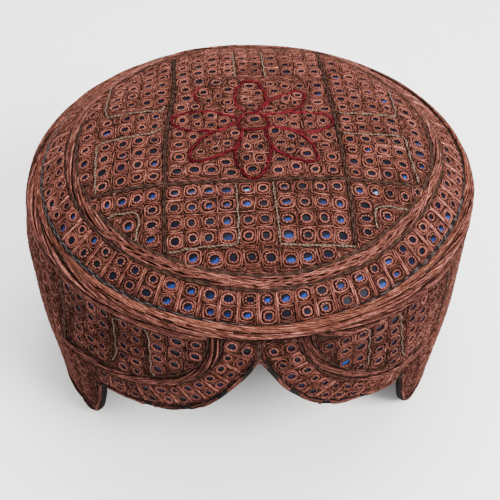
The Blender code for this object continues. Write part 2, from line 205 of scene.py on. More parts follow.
# Outline of the crown's flower, petal by petal
FLOWER = {
    "north": (
        (-2.2, 9.4), (-5, 13), (-5.8, 17.2), (-5.8, 21.3), (-5.3, 25.5), (-3.9, 28.6), (-2, 31.6),
        (0.8, 32.6), (4.2, 31.6), (5.9, 27.7), (7.1, 24.1), (7.6, 19.9), (7.5, 16.1), (5.3, 12.2), (3, 8.3),
    ),
    "centre": (
        (-5, 1.7), (-4, 5), (-2.3, 7.3), (0.8, 7.8), (4.2, 7.1), (5.8, 5), (7.6, 1.7), (7.3, -2),
        (5.3, -3.5), (0.8, -3.8), (-2.8, -3.5), (-4.7, -1.3), (-5, 1.7),
    ),
    "west": (
        (-5.8, 5), (-8.8, 7), (-11.6, 8.3), (-16.6, 10.6), (-25.4, 10.8), (-29.6, 9.7), (-32.4, 8.3),
        (-33.6, 6.1), (-33.2, 3.3), (-30.6, 0.7), (-26.3, -2), (-22.8, -3), (-18.8, -3.2), (-15.5, -3.5),
        (-12.2, -2.7), (-8.9, -0.3), (-6.1, 1.7),
    ),
    "southwest": (
        (-4.6, -13.6), (-7.8, -15.9), (-11.6, -18.3), (-15.4, -20.1), (-19.9, -22.1), (-24.4, -22.8),
        (-25.6, -21.3), (-25.7, -17.8), (-24.9, -14.6), (-22.8, -11.5), (-21.1, -8.6), (-18.8, -6.3),
        (-15.4, -4.2),
    ),
    "south": (
        (-3.7, -3.8), (-4.7, -9.4), (-6.6, -13.8), (-7.2, -20.4), (-6.6, -25.4), (-5, -28.7),
        (-2.8, -32.9), (-0.5, -34.3), (0.8, -34.1), (3.6, -31.2), (5.5, -27.4), (6.3, -23.3), (7.3, -19.1),
        (7.8, -15), (6.9, -10.8), (6.1, -6.6), (6.9, -2.5),
    ),
    "southeast": (
        (12.7, -3.6), (16.6, -5), (19.9, -6.9), (22.1, -9.4), (24.4, -12.7), (25.7, -17.7), (26.2, -21.9),
        (25.7, -24.4), (22.1, -24.9), (17.9, -23.5), (15, -22.1), (11.1, -18.8), (9.1, -16.1), (7.8, -13.8),
    ),
    "east": (
        (4.7, 6.4), (11.6, 7.2), (16.6, 8), (21.6, 7.8), (29.1, 6.6), (31.8, 6.4), (34.1, 4.7), (34.9, 1.2),
        (34.9, -0.5), (32.7, -2.5), (27.7, -5.3), (23.5, -5.8), (19.4, -5), (13.3, -3.6), (6.9, -1.9),
    ),
    "northeast": (
        (4.7, 10.8), (7.8, 14.5), (9.1, 17.2), (11.9, 19.4), (17.1, 22.4), (20.8, 24.6), (24.6, 23.6),
        (24.9, 21.1), (24.4, 17.8), (23.3, 14.5), (21.9, 11.3), (17.9, 9.5), (14.4, 7.8),
    ),
    "northwest": ((-21.6, 28), (-23, 26.9), (-23.6, 24.1), (-22.8, 19.9), (-21.6, 17.8)),
}
# Wide dark lines between the crown's blocks
CROWN_DIVIDERS = (
    ((-34.4, 66), (-33.2, 50), (-32.9, 36), (-33.2, 22), (-34.6, 10), (-35.7, -4), (-36, -20), (-35.7, -34),
     (-36, -67)),
    ((34.7, 66), (35.2, 50), (35.4, 38), (35.7, 20), (36.3, 5), (36.8, -10), (37, -30), (37.2, -66)),
    ((-66, -34.4), (-50, -34.8), (-36, -34.8), (-10, -34.9), (15, -35.1), (37, -34.9), (52, -34.6),
     (68, -34.2)),
)
# Pale tan lines inside the crown's blocks
CROWN_TAN_LINES = (
    ((-7.6, -37), (-7.4, -50), (-7.5, -60), (-7.8, -65), (-9.4, -66.5), (-20, -66.8), (-35, -67.4)),
    ((7.0, -37), (7.4, -48), (7.8, -58), (8.0, -66.4)),
    ((8.0, -67), (20, -67.3), (37, -67)),
    ((-64.6, -33), (-65.2, -15), (-65, -6), (-62.5, -4), (-50, -3.4), (-41, -2.2), (-37.6, 1)),
    ((-63.2, 47), (-63.1, 30), (-62.8, 18), (-61, 13.6), (-56, 12.6), (-46, 13.6), (-38, 13.2), (-36.6, 16)),
    ((38.4, 7.6), (50, 7.4), (62, 8.2), (64.4, 12), (64.8, 22), (65, 32)),
    ((38.4, -6.4), (50, -6.2), (62, -5.4), (65.4, -7), (66, -18), (67.6, -32)),
    ((-59.4, -46.4), (-54, -45.9), (-47.6, -47.2), (-46.2, -50), (-47.2, -57), (-48, -59.6)),
    ((47.2, -57.6), (46.4, -52), (48.6, -47.8), (54.6, -46.6), (61.6, -46.8)),
    ((-5.3, 36), (-5.4, 50), (-5.6, 63)),
    ((8.2, 36), (8.0, 50), (7.8, 63)),
)

# Mirrors along the arch: outer and inner row on each side, as azimuth and depth
ARCH_ROWS = (
    ((-3.6, 9.8), (-5.1, 16.9), (-7.4, 24.0), (-9.9, 30.8), (-12.7, 36.6), (-15.8, 41.4), (-19.3, 45.2),
     (-23.2, 48.6), (-27.6, 51.1), (-32.4, 52.9), (-37.4, 54.4), (-42.3, 55.9)),
    ((-7.0, 7.4), (-7.9, 14.2), (-9.6, 20.8), (-12.2, 27.4), (-14.8, 32.4), (-17.8, 36.6), (-21.2, 40.6),
     (-24.9, 43.6), (-29.2, 46.0), (-33.2, 47.3), (-37.6, 49.0), (-42.0, 50.2)),
    ((2.3, 10.2), (4.4, 18.3), (6.6, 26.4), (9.2, 33.8), (12.2, 39.4), (15.4, 43.4), (18.9, 46.2),
     (23.2, 49.2), (27.7, 52.0), (32.6, 55.0), (37.4, 57.2)),
    ((6.2, 9.4), (7.7, 16.6), (10.2, 24.2), (12.4, 31.0), (15.2, 35.8), (18.0, 39.6), (21.3, 42.8),
     (25.0, 45.8), (29.0, 48.4), (33.4, 51.4), (37.6, 53.0)),
)
# Azimuths of the wall's columns on the front, and depths of the first mirror in a column and between mirrors
WALL_COLUMNS = (
    -51.0, -46.6, -42.5, -38.8, -32.9, -29.4, -24.2, -19.7, -15.2,
    15.2, 19.4, 23.4, 28.4, 32.6, 38.6, 42.8, 47.2, 51.6,
)
WALL_ROWS = {"left": {"first": 9.0, "pitch": 6.7}, "right": {"first": 12.6, "pitch": 6.95}}
# Degrees that a column leans outward for each degree of azimuth and millimetre of depth
COLUMN_LEAN = 0.0018
# Even columns of each side and the back
SIDE_COLUMN_START = 59.6
SIDE_COLUMNS = 28
# A cell's half sizes: half the distance to its neighbours, less a gap and kept within a range. Cells this
# close to its row or column count as neighbours, and CELL_PITCH stands in where there is none
CELL_PITCH = 7.2
SAME_ROW = 3.6
CELL_GAP = 0.34
HALF_RANGE = (1.8, 3.2)
# Dark and tan lines on the wall, as azimuth and depth
WALL_DIVIDERS = (
    ((-53.6, 6.6), (-54.2, 20), (-55.2, 34), (-56.2, 46)),
    ((53.6, 9.2), (54.4, 20), (55.6, 34), (57.0, 50)),
    ((-0.9, 4.2), (-0.9, 10), (-0.9, 15.4)),
    ((-117.7, 6.6), (-117.7, 50), (-117.7, 94)),
    ((117.7, 9.0), (117.7, 50), (117.7, 94)),
)
WALL_TAN_LINES = (
    ((-33.5, 7.4), (-35.2, 7.8), (-36.0, 10.5), (-36.0, 22), (-36.2, 30), (-37.6, 34.4)),
    ((-28.4, 7.0), (-26.9, 8.2), (-26.5, 12), (-26.6, 24), (-26.8, 31.8), (-26.0, 34.2)),
    ((24.4, 9.6), (25.6, 12.5), (26.0, 20), (26.4, 28), (26.2, 33.4)),
    ((33.8, 9.8), (34.9, 14), (35.8, 24), (36.8, 34), (38.2, 41.5)),
)

# Sewing of a cell: half size that threads of full width go with, the mirror's opening as a share of the
# cell's half size, how far the glass lies under the thread and reaches under its ring, and where the ring
# and the outer loop run
FULL_HALF = 3.05
MIRROR_SHARE = (0.54, 0.52)
MIRROR_SIDES = 12
MIRROR_LIFT = -0.32
MIRROR_DOME = 0.08
MIRROR_TUCK = 0.2
RING_GAP = 0.34
LOOP_INSET = 0.2
LOOP_POINTS = 15
# Chance of a mirror with a painted blue reflection in front of a line across the crown, behind it, and on the
# wall
CROWN_REFLECTION = {"line": -36, "front": 0.5, "behind": 0.08}
BORDER_REFLECTION = {"line": -40, "front": 0.55, "behind": 0.15}
WALL_REFLECTION = 0.012
# Closed threads: power of the rounded square, wobble of the hand, size, lift and range of brightness
Loop = namedtuple("Loop", "power wobble width height lift dark bright")
MIRROR_RING = Loop(2.5, 0.065, 0.43, 0.44, 0.03, 0.78, 1.12)
CELL_LOOP = Loop(4.0, 0.042, 0.37, 0.38, -0.06, 0.7, 1.1)
# Clear distance of the wall's cells from the lower edge, the drawn lines and the arch's cells
EDGE_CLEAR = 6.0
LINE_CLEAR = 3.9
CELL_CLEAR = 5.4
# Bars join cells whose middles lie this far apart
BAR_REACH = (3.5, 8.4)
# Straight threads: lift, size, number of points, range of brightness and most painted highlight
Bar = namedtuple("Bar", "lift width height count dark bright pale")
CROWN_BAR = Bar(-0.06, 0.34, 0.38, 4, 0.8, 1.2, 0.8)
WALL_BAR = Bar(-0.06, 0.34, 0.38, 4, 0.75, 1.15, 0.7)
LEVEL_BAR = Bar(-0.06, 0.34, 0.38, 4, 0.8, 1.1, 0.5)
RADIAL_BAR = Bar(0.14, 0.36, 0.4, 7, 1.0, 1.3, 1.0)
ARCH_BAR = Bar(0.1, 0.34, 0.4, 6, 1.1, 1.5, 1.0)
# Distance between points along the drawn lines that other stitches keep clear of
LINE_SPACING = 0.8
# Drawn lines: their threads' places beside the line, size, lift, swing, distance of points and tone
Line = namedtuple("Line", "offsets width height lift weave spacing tone")
PLAIN_TONE = (1.0, 0.4, 0.5)
FLOWER_LINE = Line((-0.28, 0.28), 0.30, 0.36, 0.18, 0.26, 0.7, PLAIN_TONE)
CROWN_DIVIDER = Line((-0.36, 0.36), 0.38, 0.32, -0.04, 0.16, 0.8, PLAIN_TONE)
WALL_DIVIDER = Line((-0.4, 0.4), 0.48, 0.36, 0.12, 0.12, 0.8, PLAIN_TONE)
ARCH_SIDE = Line((-2.5, 2.5), 0.4, 0.34, -0.1, 0.12, 0.8, PLAIN_TONE)
CROWN_TAN = Line((-0.1, 0.14), 0.25, 0.32, 0.12, 0.22, 0.7, (0.85, 0.3, 0.5))
WALL_TAN = Line((0.0,), 0.30, 0.32, 0.15, 0.25, 0.7, (0.7, 0.3, 0.5))
# Threads round the crown: distance either side of their line, width, height, lift and tone
Circle = namedtuple("Circle", "aside width height lift tone")
DARK_CIRCLE = Circle(0.4, 0.5, 0.34, -0.1, PLAIN_TONE)
GREY_CIRCLE = Circle(0.35, 0.34, 0.34, -0.05, (1.0, 0.5, 0.5))
# Filling: least room for a stitch, spacing on crown and wall, and thread size
FILLING_ROOM = 0.16
CROWN_FILLING = 0.95
WALL_FILLING = 1.3
FILLING_WIDTH = 0.27
FILLING_HEIGHT = 0.30
# Stitches laid side by side: sizes, drift across the route, rise off the skin, scatter, range of brightness
# and most painted highlight
Laid = namedtuple("Laid", "length step width height slant rise scatter dark bright pale")
LAID = {
    "edge_bundle": Laid(60.0, 8.0, 0.38, 0.50, 0.85, -0.25, 0.15, 0.6, 1.05, 0.8),
    "edge_cord": Laid(34.0, 4.6, 0.40, 0.50, 0.95, -0.30, 0.3, 0.5, 1.15, 0.9),
    "ring_cord": Laid(30.0, 3.9, 0.38, 0.45, 0.85, 0.25, 0.3, 0.55, 1.15, 0.9),
    "ring_crossing": Laid(20.0, 6.0, 0.38, 0.45, -0.9, 0.45, 0.3, 0.6, 1.15, 0.9),
    "wall_top": Laid(30.0, 3.6, 0.42, 0.50, 0.9, 0.30, 0.3, 0.55, 1.2, 0.8),
    "arch": Laid(30.0, 4.4, 0.38, 0.48, 0.8, 0.30, 0.35, 0.55, 1.15, 0.7),
    "hem": Laid(12.0, 2.8, 0.34, 0.30, 0.6, 0.42, 0.35, 0.5, 1.2, 0.6),
}


def smoothstep(value, low, high):
    share = np.clip((value - low) / (high - low), 0, 1)
    return share * share * (3 - 2 * share)


def unit(vectors):
    return vectors / np.maximum(np.linalg.norm(vectors, axis=-1, keepdims=True), 1e-12)


def joined(*parts):
    """Arrays or numbers side by side, as the last axis of one array."""
    return np.stack(np.broadcast_arrays(*parts), -1)


def left_of(vectors):
    """Flat vectors turned a quarter to the left."""
    return joined(-vectors[..., 1], vectors[..., 0])


def radial(turn, out, up):
    """Vectors at angles from the front, with a part away from the cap's axis and a part up."""
    return joined(out * np.sin(turn), -out * np.cos(turn), up)


def full_circle(count, start=0.0):
    """Even angles round a circle."""
    return FULL_TURN * (np.arange(count) + start) / count


def run_of(x, y):
    """Running length along a line through points."""
    return np.concatenate([[0], np.cumsum(np.hypot(np.diff(x), np.diff(y)))])


def at_run(run, runs, path):
    """Points at running lengths along a path, from its points and their running lengths."""
    return joined(*(np.interp(run, runs, part) for part in path.T))


def put_on(place, points, lift):
    """Points and normals in the frame for chart points (..., 2), a lift off the skin."""
    return place(points[..., 0], points[..., 1], lift)


# The crown, the rounded edge that the cord covers, and the wall as curved charts

def dome_slope(radius):
    return DOME_RISE * 4 * radius ** 3 / CROWN_RADIUS ** 4


RADII = np.linspace(0, 100, 2001)
SLOPES = dome_slope(RADII)
CLOTH_RUNS = np.hypot(1, 0.5 * (SLOPES[1:] + SLOPES[:-1])) * np.diff(RADII)
LENGTHS = np.concatenate([[0], np.cumsum(CLOTH_RUNS)])


def crown_radius(length):
    return np.interp(length, LENGTHS, RADII)


def dome_height(radius):
    return DOME_RISE * (1 - (radius / CROWN_RADIUS) ** 4)


def crown_relief(x, y):
    """Soft unevenness of the quilted crown, none at its edge."""
    waves = (
        0.30 * np.sin(x * 0.105 + y * 0.041 + 1.0)
        + 0.24 * np.sin(y * 0.128 - x * 0.052 + 2.3)
        + 0.14 * np.sin(x * 0.23 + y * 0.19)
    )
    return waves * (1 - smoothstep(np.hypot(x, y), 80, 94))


def on_crown(x, y, lift):
    """Points a lift off the crown's skin and the skin's normals there."""
    x, y, lift = np.broadcast_arrays(x, y, lift)
    length = np.hypot(x, y)
    radius = crown_radius(length)
    safe = np.maximum(length, 1e-9)
    toward_x, toward_y = x / safe, y / safe
    slope = dome_slope(radius)
    upright = 1 / np.hypot(1, slope)
    normal = joined(toward_x * slope * upright, toward_y * slope * upright, upright)
    skin = AXIS + joined(radius * toward_x, radius * toward_y, CROWN_HEIGHT + dome_height(radius))
    return skin + normal * (lift + crown_relief(x, y))[..., None], normal


def border_shift(turn):
    """How far the border's circles lie outside their usual lengths at an angle from the front."""
    azimuth, shift = np.array(BORDER_SHIFT).T
    return np.interp(np.degrees(turn), azimuth, shift, period=360)


def border_reach(points):
    """Lengths of chart points from the crown's middle, less the border's shift."""
    return np.hypot(*points.T) - border_shift(np.arctan2(points[:, 0], -points[:, 1]))


def crown_chart(turn, length):
    """Chart points of the crown at angles from the front and lengths from its middle."""
    return joined(length * np.sin(turn), -length * np.cos(turn))


def on_border(turn, length, lift):
    """A place on the crown by its angle from the front and its length before the border's shift."""
    return put_on(on_crown, crown_chart(turn, length + border_shift(turn)), lift)


def cord_section(along, out):
    """Radius and height of the leaning edge cord, at places along its width and out from its middle."""
    lean = math.radians(EDGE_CORD["lean"])
    radius = EDGE_CORD["radius"] - along * math.cos(lean) + out * math.sin(lean)
    return radius, EDGE_CORD["height"] + along * math.sin(lean) + out * math.cos(lean)


def edge_section():
    """Section of crown and edge cord: length from the crown's middle, radius, height and normal."""
    lengths = np.linspace(84, 97.2, 28)
    flat_radius = crown_radius(lengths)
    turn = np.radians(np.linspace(22, 178, 30))
    along = EDGE_CORD["half_width"] * np.cos(turn)
    cord_radius, cord_height = cord_section(along, EDGE_CORD["half_thickness"] * np.sin(turn))
    radius = np.concatenate([flat_radius, cord_radius])
    height = np.concatenate([dome_height(flat_radius), cord_height])
    length = lengths[0] + run_of(radius, height)
    normal = unit(joined(-np.gradient(height), np.gradient(radius)))
    return length, radius, height, normal[:, 0], normal[:, 1]


EDGE_SECTION = edge_section()


def on_edge(turn, length, lift):
    """Points a lift off the edge cord's skin, length being measured on from the crown."""
    turn, length, lift = np.broadcast_arrays(turn, length, lift)
    parts = [np.interp(length, EDGE_SECTION[0], part) for part in EDGE_SECTION[1:]]
    radius, height, outward, upward = parts
    point = AXIS + radial(turn, radius + lift * outward, CROWN_HEIGHT + height + lift * upward)
    return point, radial(turn, outward, upward)


def bulge(azimuth, centre):
    return np.exp(-((((azimuth - centre + 180) % 360) - 180) / 45) ** 2)


def wall_radius(azimuth, depth):
    level = np.clip(depth / CROWN_HEIGHT, 0, 1)
    swell = 5.0 * bulge(azimuth, -95) + 0.8 * bulge(azimuth, 95)
    lean = 2.1 * np.sin(np.radians(azimuth)) * level ** 2
    return WALL_TOP_RADIUS + 2.2 * level - 4.7 * level ** 2 + swell * np.sin(math.pi * level ** 0.8) - lean


def wall_relief(azimuth, depth):
    """Soft unevenness of the quilted wall, none at its top."""
    turn = np.radians(azimuth)
    waves = (
        0.30 * np.sin(9 * turn + depth * 0.05 + 0.7)
        + 0.22 * np.sin(14 * turn - depth * 0.09 + 2.0)
        + 0.25 * np.sin(5 * turn + depth * 0.13)
    )
    return waves * smoothstep(depth, 6, 22) * (1 - 0.5 * smoothstep(depth, 80, 98))


def on_wall(x, y, lift):
    """Points a lift off the wall's skin and the skin's normals there, from the wall's chart."""
    x, y, lift = np.broadcast_arrays(x, y, lift)
    azimuth, depth = x / DEGREE, -y
    out = wall_radius(azimuth, depth) + lift + wall_relief(azimuth, depth)
    fall = wall_radius(azimuth, depth + 0.5) - wall_radius(azimuth, depth - 0.5)
    turn = np.radians(azimuth)
    size = np.hypot(1, fall)
    return AXIS + radial(turn, out, CROWN_HEIGHT - depth), radial(turn, 1 / size, fall / size)


def wall_chart(knots):
    """Azimuths and depths as points of the wall's chart."""
    return [(azimuth * DEGREE, -depth) for azimuth, depth in knots]


def smooth_path(knots, spacing):
    """Points at even spacing along a Catmull-Rom curve through the knots."""
    knots = np.asarray(knots, float)
    ends = np.vstack([2 * knots[0] - knots[1], knots, 2 * knots[-1] - knots[-2]])
    share = np.linspace(0, 1, 24, endpoint=False)[:, None]
    pieces = []
    for k in range(len(knots) - 1):
        a, b, c, d = ends[k:k + 4]
        square = (2 * a - 5 * b + 4 * c - d) * share ** 2
        cube = (3 * b - a - 3 * c + d) * share ** 3
        pieces.append(0.5 * (2 * b + (c - a) * share + square + cube))
    fine = np.vstack(pieces + [knots[-1:]])
    run = run_of(*fine.T)
    count = max(int(round(run[-1] / spacing)), 2) + 1
    return at_run(np.linspace(0, run[-1], count), run, fine)


def moved(path, offset):
    """A path of chart points moved sideways, to its left for a positive offset."""
    return path + left_of(unit(np.gradient(path, axis=0))) * np.asarray(offset)[..., None]


# Meshes

class Stitches:
    """Threads and patches gathered as arrays and turned into one mesh."""

    def __init__(self):
        self.points, self.corners, self.sizes, self.uvs, self.tones = [], [], [], [], []
        self.count = 0

    def add(self, points, tones, polygons, uvs):
        """Take points (V, 3) with tones (V, 3), and polygons (P, c) with their corners' uvs."""
        self.points.append(points)
        self.tones.append(tones)
        self.add_polygons(polygons + self.count, uvs)
        self.count += len(points)

    def add_polygons(self, polygons, uvs):
        self.corners.append(polygons.ravel())
        self.sizes.append(np.full(len(polygons), polygons.shape[1]))
        self.uvs.append(uvs.reshape(-1, 2))

    def threads(self, path, up, width, height, tone, sides=5, closed=False):
        """Tubes of elliptic section along paths (M, N, 3) with normals up; tone is (M, 3)."""
        many, length = path.shape[:2]
        width, height = (np.broadcast_to(size, (many, length)) for size in (width, height))
        tone = np.broadcast_to(tone, (many, 3))
        ahead = np.roll(path, -1, 1)
        along = unit(ahead - np.roll(path, 1, 1) if closed else np.gradient(path, axis=1))
        side = unit(np.cross(along, up))
        over = np.cross(side, along)
        turn = full_circle(sides)
        across = side[:, :, None] * (width[..., None] * np.cos(turn))[..., None]
        upward = over[:, :, None] * (height[..., None] * np.sin(turn))[..., None]
        ring = path[:, :, None] + across + upward
        steps = np.linalg.norm(ahead - path, axis=-1)
        run = np.concatenate([np.zeros((many, 1)), np.cumsum(steps, 1)], 1)
        spans = length if closed else length - 1
        m, n, s = np.meshgrid(np.arange(many), np.arange(spans), np.arange(sides), indexing="ij")
        here = (m * length + n) * sides
        there = (m * length + (n + 1) % length) * sides
        after = (s + 1) % sides
        quads = joined(here + s, there + s, there + after, here + after)
        u = joined(run[m, n], run[m, n + 1], run[m, n + 1], run[m, n])
        v = joined(s, s, s + 1, s + 1) / sides
        first_point = self.count
        tones = np.repeat(tone, length * sides, 0)
        self.add(ring.reshape(-1, 3), tones, quads.reshape(-1, 4), joined(u, v))
        if not closed:
            start = first_point + np.arange(many)[:, None] * length * sides
            around = np.arange(sides)
            for caps in (start + around, start + (length - 1) * sides + around[::-1]):
                self.add_polygons(caps, np.zeros((many, sides, 2)))

    def discs(self, centre, across, along, radius, lift, spin, tone):
        """Slightly domed patches with axes across and along (M, 3) and outline radii (M, sides).

        spin turns each patch's uvs, so that they keep to the chart's directions.
        """
        many, sides = radius.shape
        turn = full_circle(sides)
        shares = (1.0, 0.55, 0.0)
        rings = []
        for share in shares:
            x = (radius * share * np.cos(turn))[..., None]
            y = (radius * share * np.sin(turn))[..., None]
            dome = lift[:, None] * (1 - share ** 2)
            rings.append(centre[:, None] + x * across[:, None] + y * along[:, None] + dome)
        rings[-1] = rings[-1][:, :1]
        points = np.concatenate(rings, 1).reshape(-1, 3)
        place = np.concatenate([turn, turn, [0.0]]) + spin[:, None]
        reach = np.repeat(shares, [sides, sides, 1])
        uv = reach[:, None] * joined(np.cos(place), np.sin(place))
        k = np.arange(sides)
        after = (k + 1) % sides
        quads = joined(k, after, sides + after, sides + k)
        fans = joined(sides + k, sides + after, 2 * sides)
        block = 2 * sides + 1
        first = np.arange(many)[:, None, None] * block
        first_point = self.count
        self.add(points, np.repeat(tone, block, 0), (first + quads).reshape(-1, 4), uv[:, quads])
        self.add_polygons((first_point + first + fans).reshape(-1, 3), uv[:, fans])

    def skin(self, points, uvs, closed_rows=False):
        """A surface over points (A, B, 3) with uvs (A, B, 2), closed along B."""
        rows, columns = points.shape[:2]
        spans = rows if closed_rows else rows - 1
        i, j = np.meshgrid(np.arange(spans), np.arange(columns), indexing="ij")
        here, below = i * columns, (i + 1) % rows * columns
        beside = (j + 1) % columns
        quads = joined(here + j, below + j, below + beside, here + beside).reshape(-1, 4)
        plain = np.full((rows * columns, 3), 0.5)
        self.add(points.reshape(-1, 3), plain, quads, uvs.reshape(-1, 2)[quads])

    def fan(self, ring, uvs, inward):
        """A closing fan over a ring of points."""
        count = len(ring)
        here = np.arange(count)
        corners = joined(here, (here + 1) % count, count)
        if inward:
            corners = corners[:, ::-1]
        points, uvs = (np.vstack([part, part.mean(0)]) for part in (ring, uvs))
        self.add(points, np.full((count + 1, 3), 0.5), corners, uvs[corners])

    def build(self, name, material, slot, replaced=()):
        """Make the object, ride it on the cap's body and hide the nodes it stands for; slot is not used."""
        mesh = bpy.data.meshes.new(name)
        points = np.concatenate(self.points) * MM
        corners = np.concatenate(self.corners).astype(np.int32)
        sizes = np.concatenate(self.sizes)
        starts = np.concatenate([[0], np.cumsum(sizes)[:-1]]).astype(np.int32)
        mesh.vertices.add(len(points))
        mesh.vertices.foreach_set("co", points.astype(np.float32).ravel())
        mesh.loops.add(len(corners))
        mesh.loops.foreach_set("vertex_index", corners)
        mesh.polygons.add(len(sizes))
        mesh.polygons.foreach_set("loop_start", starts)
        layer = mesh.uv_layers.new(name="thread")
        layer.data.foreach_set("uv", np.concatenate(self.uvs).astype(np.float32).ravel())
        tones = np.concatenate(self.tones)
        colours = np.concatenate([tones, np.ones((len(tones), 1))], 1)
        attribute = mesh.attributes.new("tone", "FLOAT_COLOR", "POINT")
        attribute.data.foreach_set("color", colours.astype(np.float32).ravel())
        mesh.update(calc_edges=True)
        mesh.validate()
        mesh.shade_smooth()
        mesh.materials.append(material)
        piece = bpy.data.objects.new(name, mesh)
        bpy.context.collection.objects.link(piece)
        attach(piece, "root")
        if replaced:
            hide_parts(*replaced)
        return piece


# Materials; colours are linear light

class Shader:
    """Short way to wire a material's nodes."""

    def __init__(self, name, roughness, **settings):
        self.material = bpy.data.materials.new(name)
        self.material.use_nodes = True
        self.nodes, self.links = self.material.node_tree.nodes, self.material.node_tree.links
        self.surface = self.nodes["Principled BSDF"]
        self.surface.inputs["Roughness"].default_value = roughness
        for socket, value in settings.items():
            self.surface.inputs[socket.replace("_", " ")].default_value = value

    def put(self, socket, value):
        if isinstance(value, bpy.types.NodeSocket):
            self.links.new(value, socket)
        else:
            socket.default_value = value

    def node(self, kind, inputs, **settings):
        """A node of a kind with its settings made and its inputs, named or in order, filled."""
        node = self.nodes.new("ShaderNode" + kind)
        for name, value in settings.items():
            setattr(node, name, value)
        named = inputs.items() if isinstance(inputs, dict) else enumerate(inputs)
        for socket, value in named:
            self.put(node.inputs[socket], value)
        return node.outputs

    def math(self, operation, a, b=0.0, c=0.0, clamp=False):
        return self.node("Math", (a, b, c), operation=operation, use_clamp=clamp)[0]

    def times(self, a, b, clamp=False):
        return self.math("MULTIPLY", a, b, clamp=clamp)

    def times_plus(self, a, b, c, clamp=False):
        """The product of a and b, plus c."""
        return self.math("MULTIPLY_ADD", a, b, c, clamp)

    def mix(self, factor, a, b, blend="MIX"):
        a, b = (part if isinstance(part, bpy.types.NodeSocket) else (*part, 1) for part in (a, b))
        inputs = {"Factor": factor, "A": a, "B": b}
        return self.node("Mix", inputs, data_type="RGBA", blend_type=blend)["Result"]

    def ramp(self, value, low, high):
        """A value's way from low to high, kept between 0 and 1."""
        return self.node("MapRange", {"Value": value, "From Min": low, "From Max": high})["Result"]

    def coordinates(self, output):
        return self.node("TexCoord", ())[output]

    def split(self, vector):
        return self.node("SeparateXYZ", (vector,))

    def join(self, x, y, z):
        return self.node("CombineXYZ", (x, y, z))[0]

    def tone(self):
        """The whole colour of the tone attribute, and its parts."""
        colour = self.node("VertexColor", (), layer_name="tone")["Color"]
        return colour, self.node("SeparateColor", (colour,))

    def noise(self, vector, scale, detail=3.0, roughness=0.6):
        inputs = {"Vector": vector, "Scale": scale, "Detail": detail, "Roughness": roughness}
        return self.node("TexNoise", inputs)["Fac"]

    def bump(self, height, distance, strength=1.0):
        inputs = {"Height": height, "Distance": distance, "Strength": strength}
        self.put(self.surface.inputs["Normal"], self.node("Bump", inputs)["Normal"])

    def colour(self, value):
        self.put(self.surface.inputs["Base Color"], value)

    def shaded(self, colour, strength):
        """A colour times a grey strength."""
        return self.mix(1.0, colour, self.join(strength, strength, strength), "MULTIPLY")


def thread_shader(name, colours, roughness, specular=0.1):
    """A thread's start: its shader, place along and around, and tone parts."""
    tint = (*(min(1.0, 0.25 + 1.2 * part) for part in colours["pale"]), 1)
    shader = Shader(name, roughness, Sheen_Weight=0.1 * specular, Sheen_Roughness=0.4, Sheen_Tint=tint,
                    Specular_IOR_Level=specular, Specular_Tint=tint)
    return shader, shader.split(shader.coordinates("UV")), shader.tone()[1]


def mottled(shader, colours, cloud, chance, spread, start):
    """A thread's body, deep or middle in colour by a slow cloud and the thread's own chance value."""
    level = shader.times_plus(cloud, 1.3, shader.times_plus(chance, spread, start), clamp=True)
    return shader.mix(level, colours["deep"], colours["middle"])


def twisted_material(name, colours, ply, slant, groove=0.5, pricks=0.0, roughness=0.85, specular=0.1):
    """Twisted thread: painted shade in grooves between plies, painted highlights, pricks along a sewn ring's
    outer side.

    ply and pricks count the grooves and pricks in a millimetre, slant the grooves met once around the thread,
    and groove is how dark the painted shade in them is; a deeper groove also narrows the painted highlights.
    """
    shader, place, tone = thread_shader(name, colours, roughness, specular)
    where = shader.coordinates("Object")
    cloud = shader.noise(where, 240.0, 2.0)
    fibre = shader.noise(where, 2600.0, 2.0, 0.7)
    around = shader.times_plus(place[1], slant * FULL_TURN, shader.times(cloud, 9.0))
    wave = shader.math("SINE", shader.times_plus(place[0], ply * FULL_TURN, around))
    twist = shader.times_plus(wave, 0.5, 0.5)
    # Painted highlights on the ply ridges, where the fine fibre noise is high
    ridge = shader.ramp(twist, 1.75 * groove - 0.35, 0.95)
    painted_highlight = shader.times(shader.ramp(fibre, 0.35, 0.7), ridge, clamp=True)
    painted_highlight = shader.times(painted_highlight, shader.math("ADD", tone[1], 0.3), clamp=True)
    body = mottled(shader, colours, cloud, tone[2], 0.9, -0.65)
    # Painted shade in the hollows between plies; pricks darken a ring's outer side further
    hollow = shader.math("POWER", shader.math("SUBTRACT", 1.0, twist), 2.0)
    shade = shader.times_plus(hollow, -groove, 1.0)
    if pricks:
        step = shader.times_plus(place[0], pricks * FULL_TURN, shader.times(cloud, 14.0))
        prick = shader.ramp(shader.math("SINE", step), 0.1, 0.7)
        outer = shader.ramp(shader.math("COSINE", shader.times(place[1], FULL_TURN)), 0.3, 0.8)
        hole = shader.times(prick, outer, clamp=True)
        shade = shader.times(shade, shader.times_plus(hole, -0.38, 1.0))
    body = shader.mix(painted_highlight, body, colours["pale"])
    shader.colour(shader.shaded(body, shader.times(shade, tone[0])))
    shader.bump(shader.times_plus(fibre, 0.6, shader.times(twist, 0.7)), 0.00022, 0.9)
    return shader.material


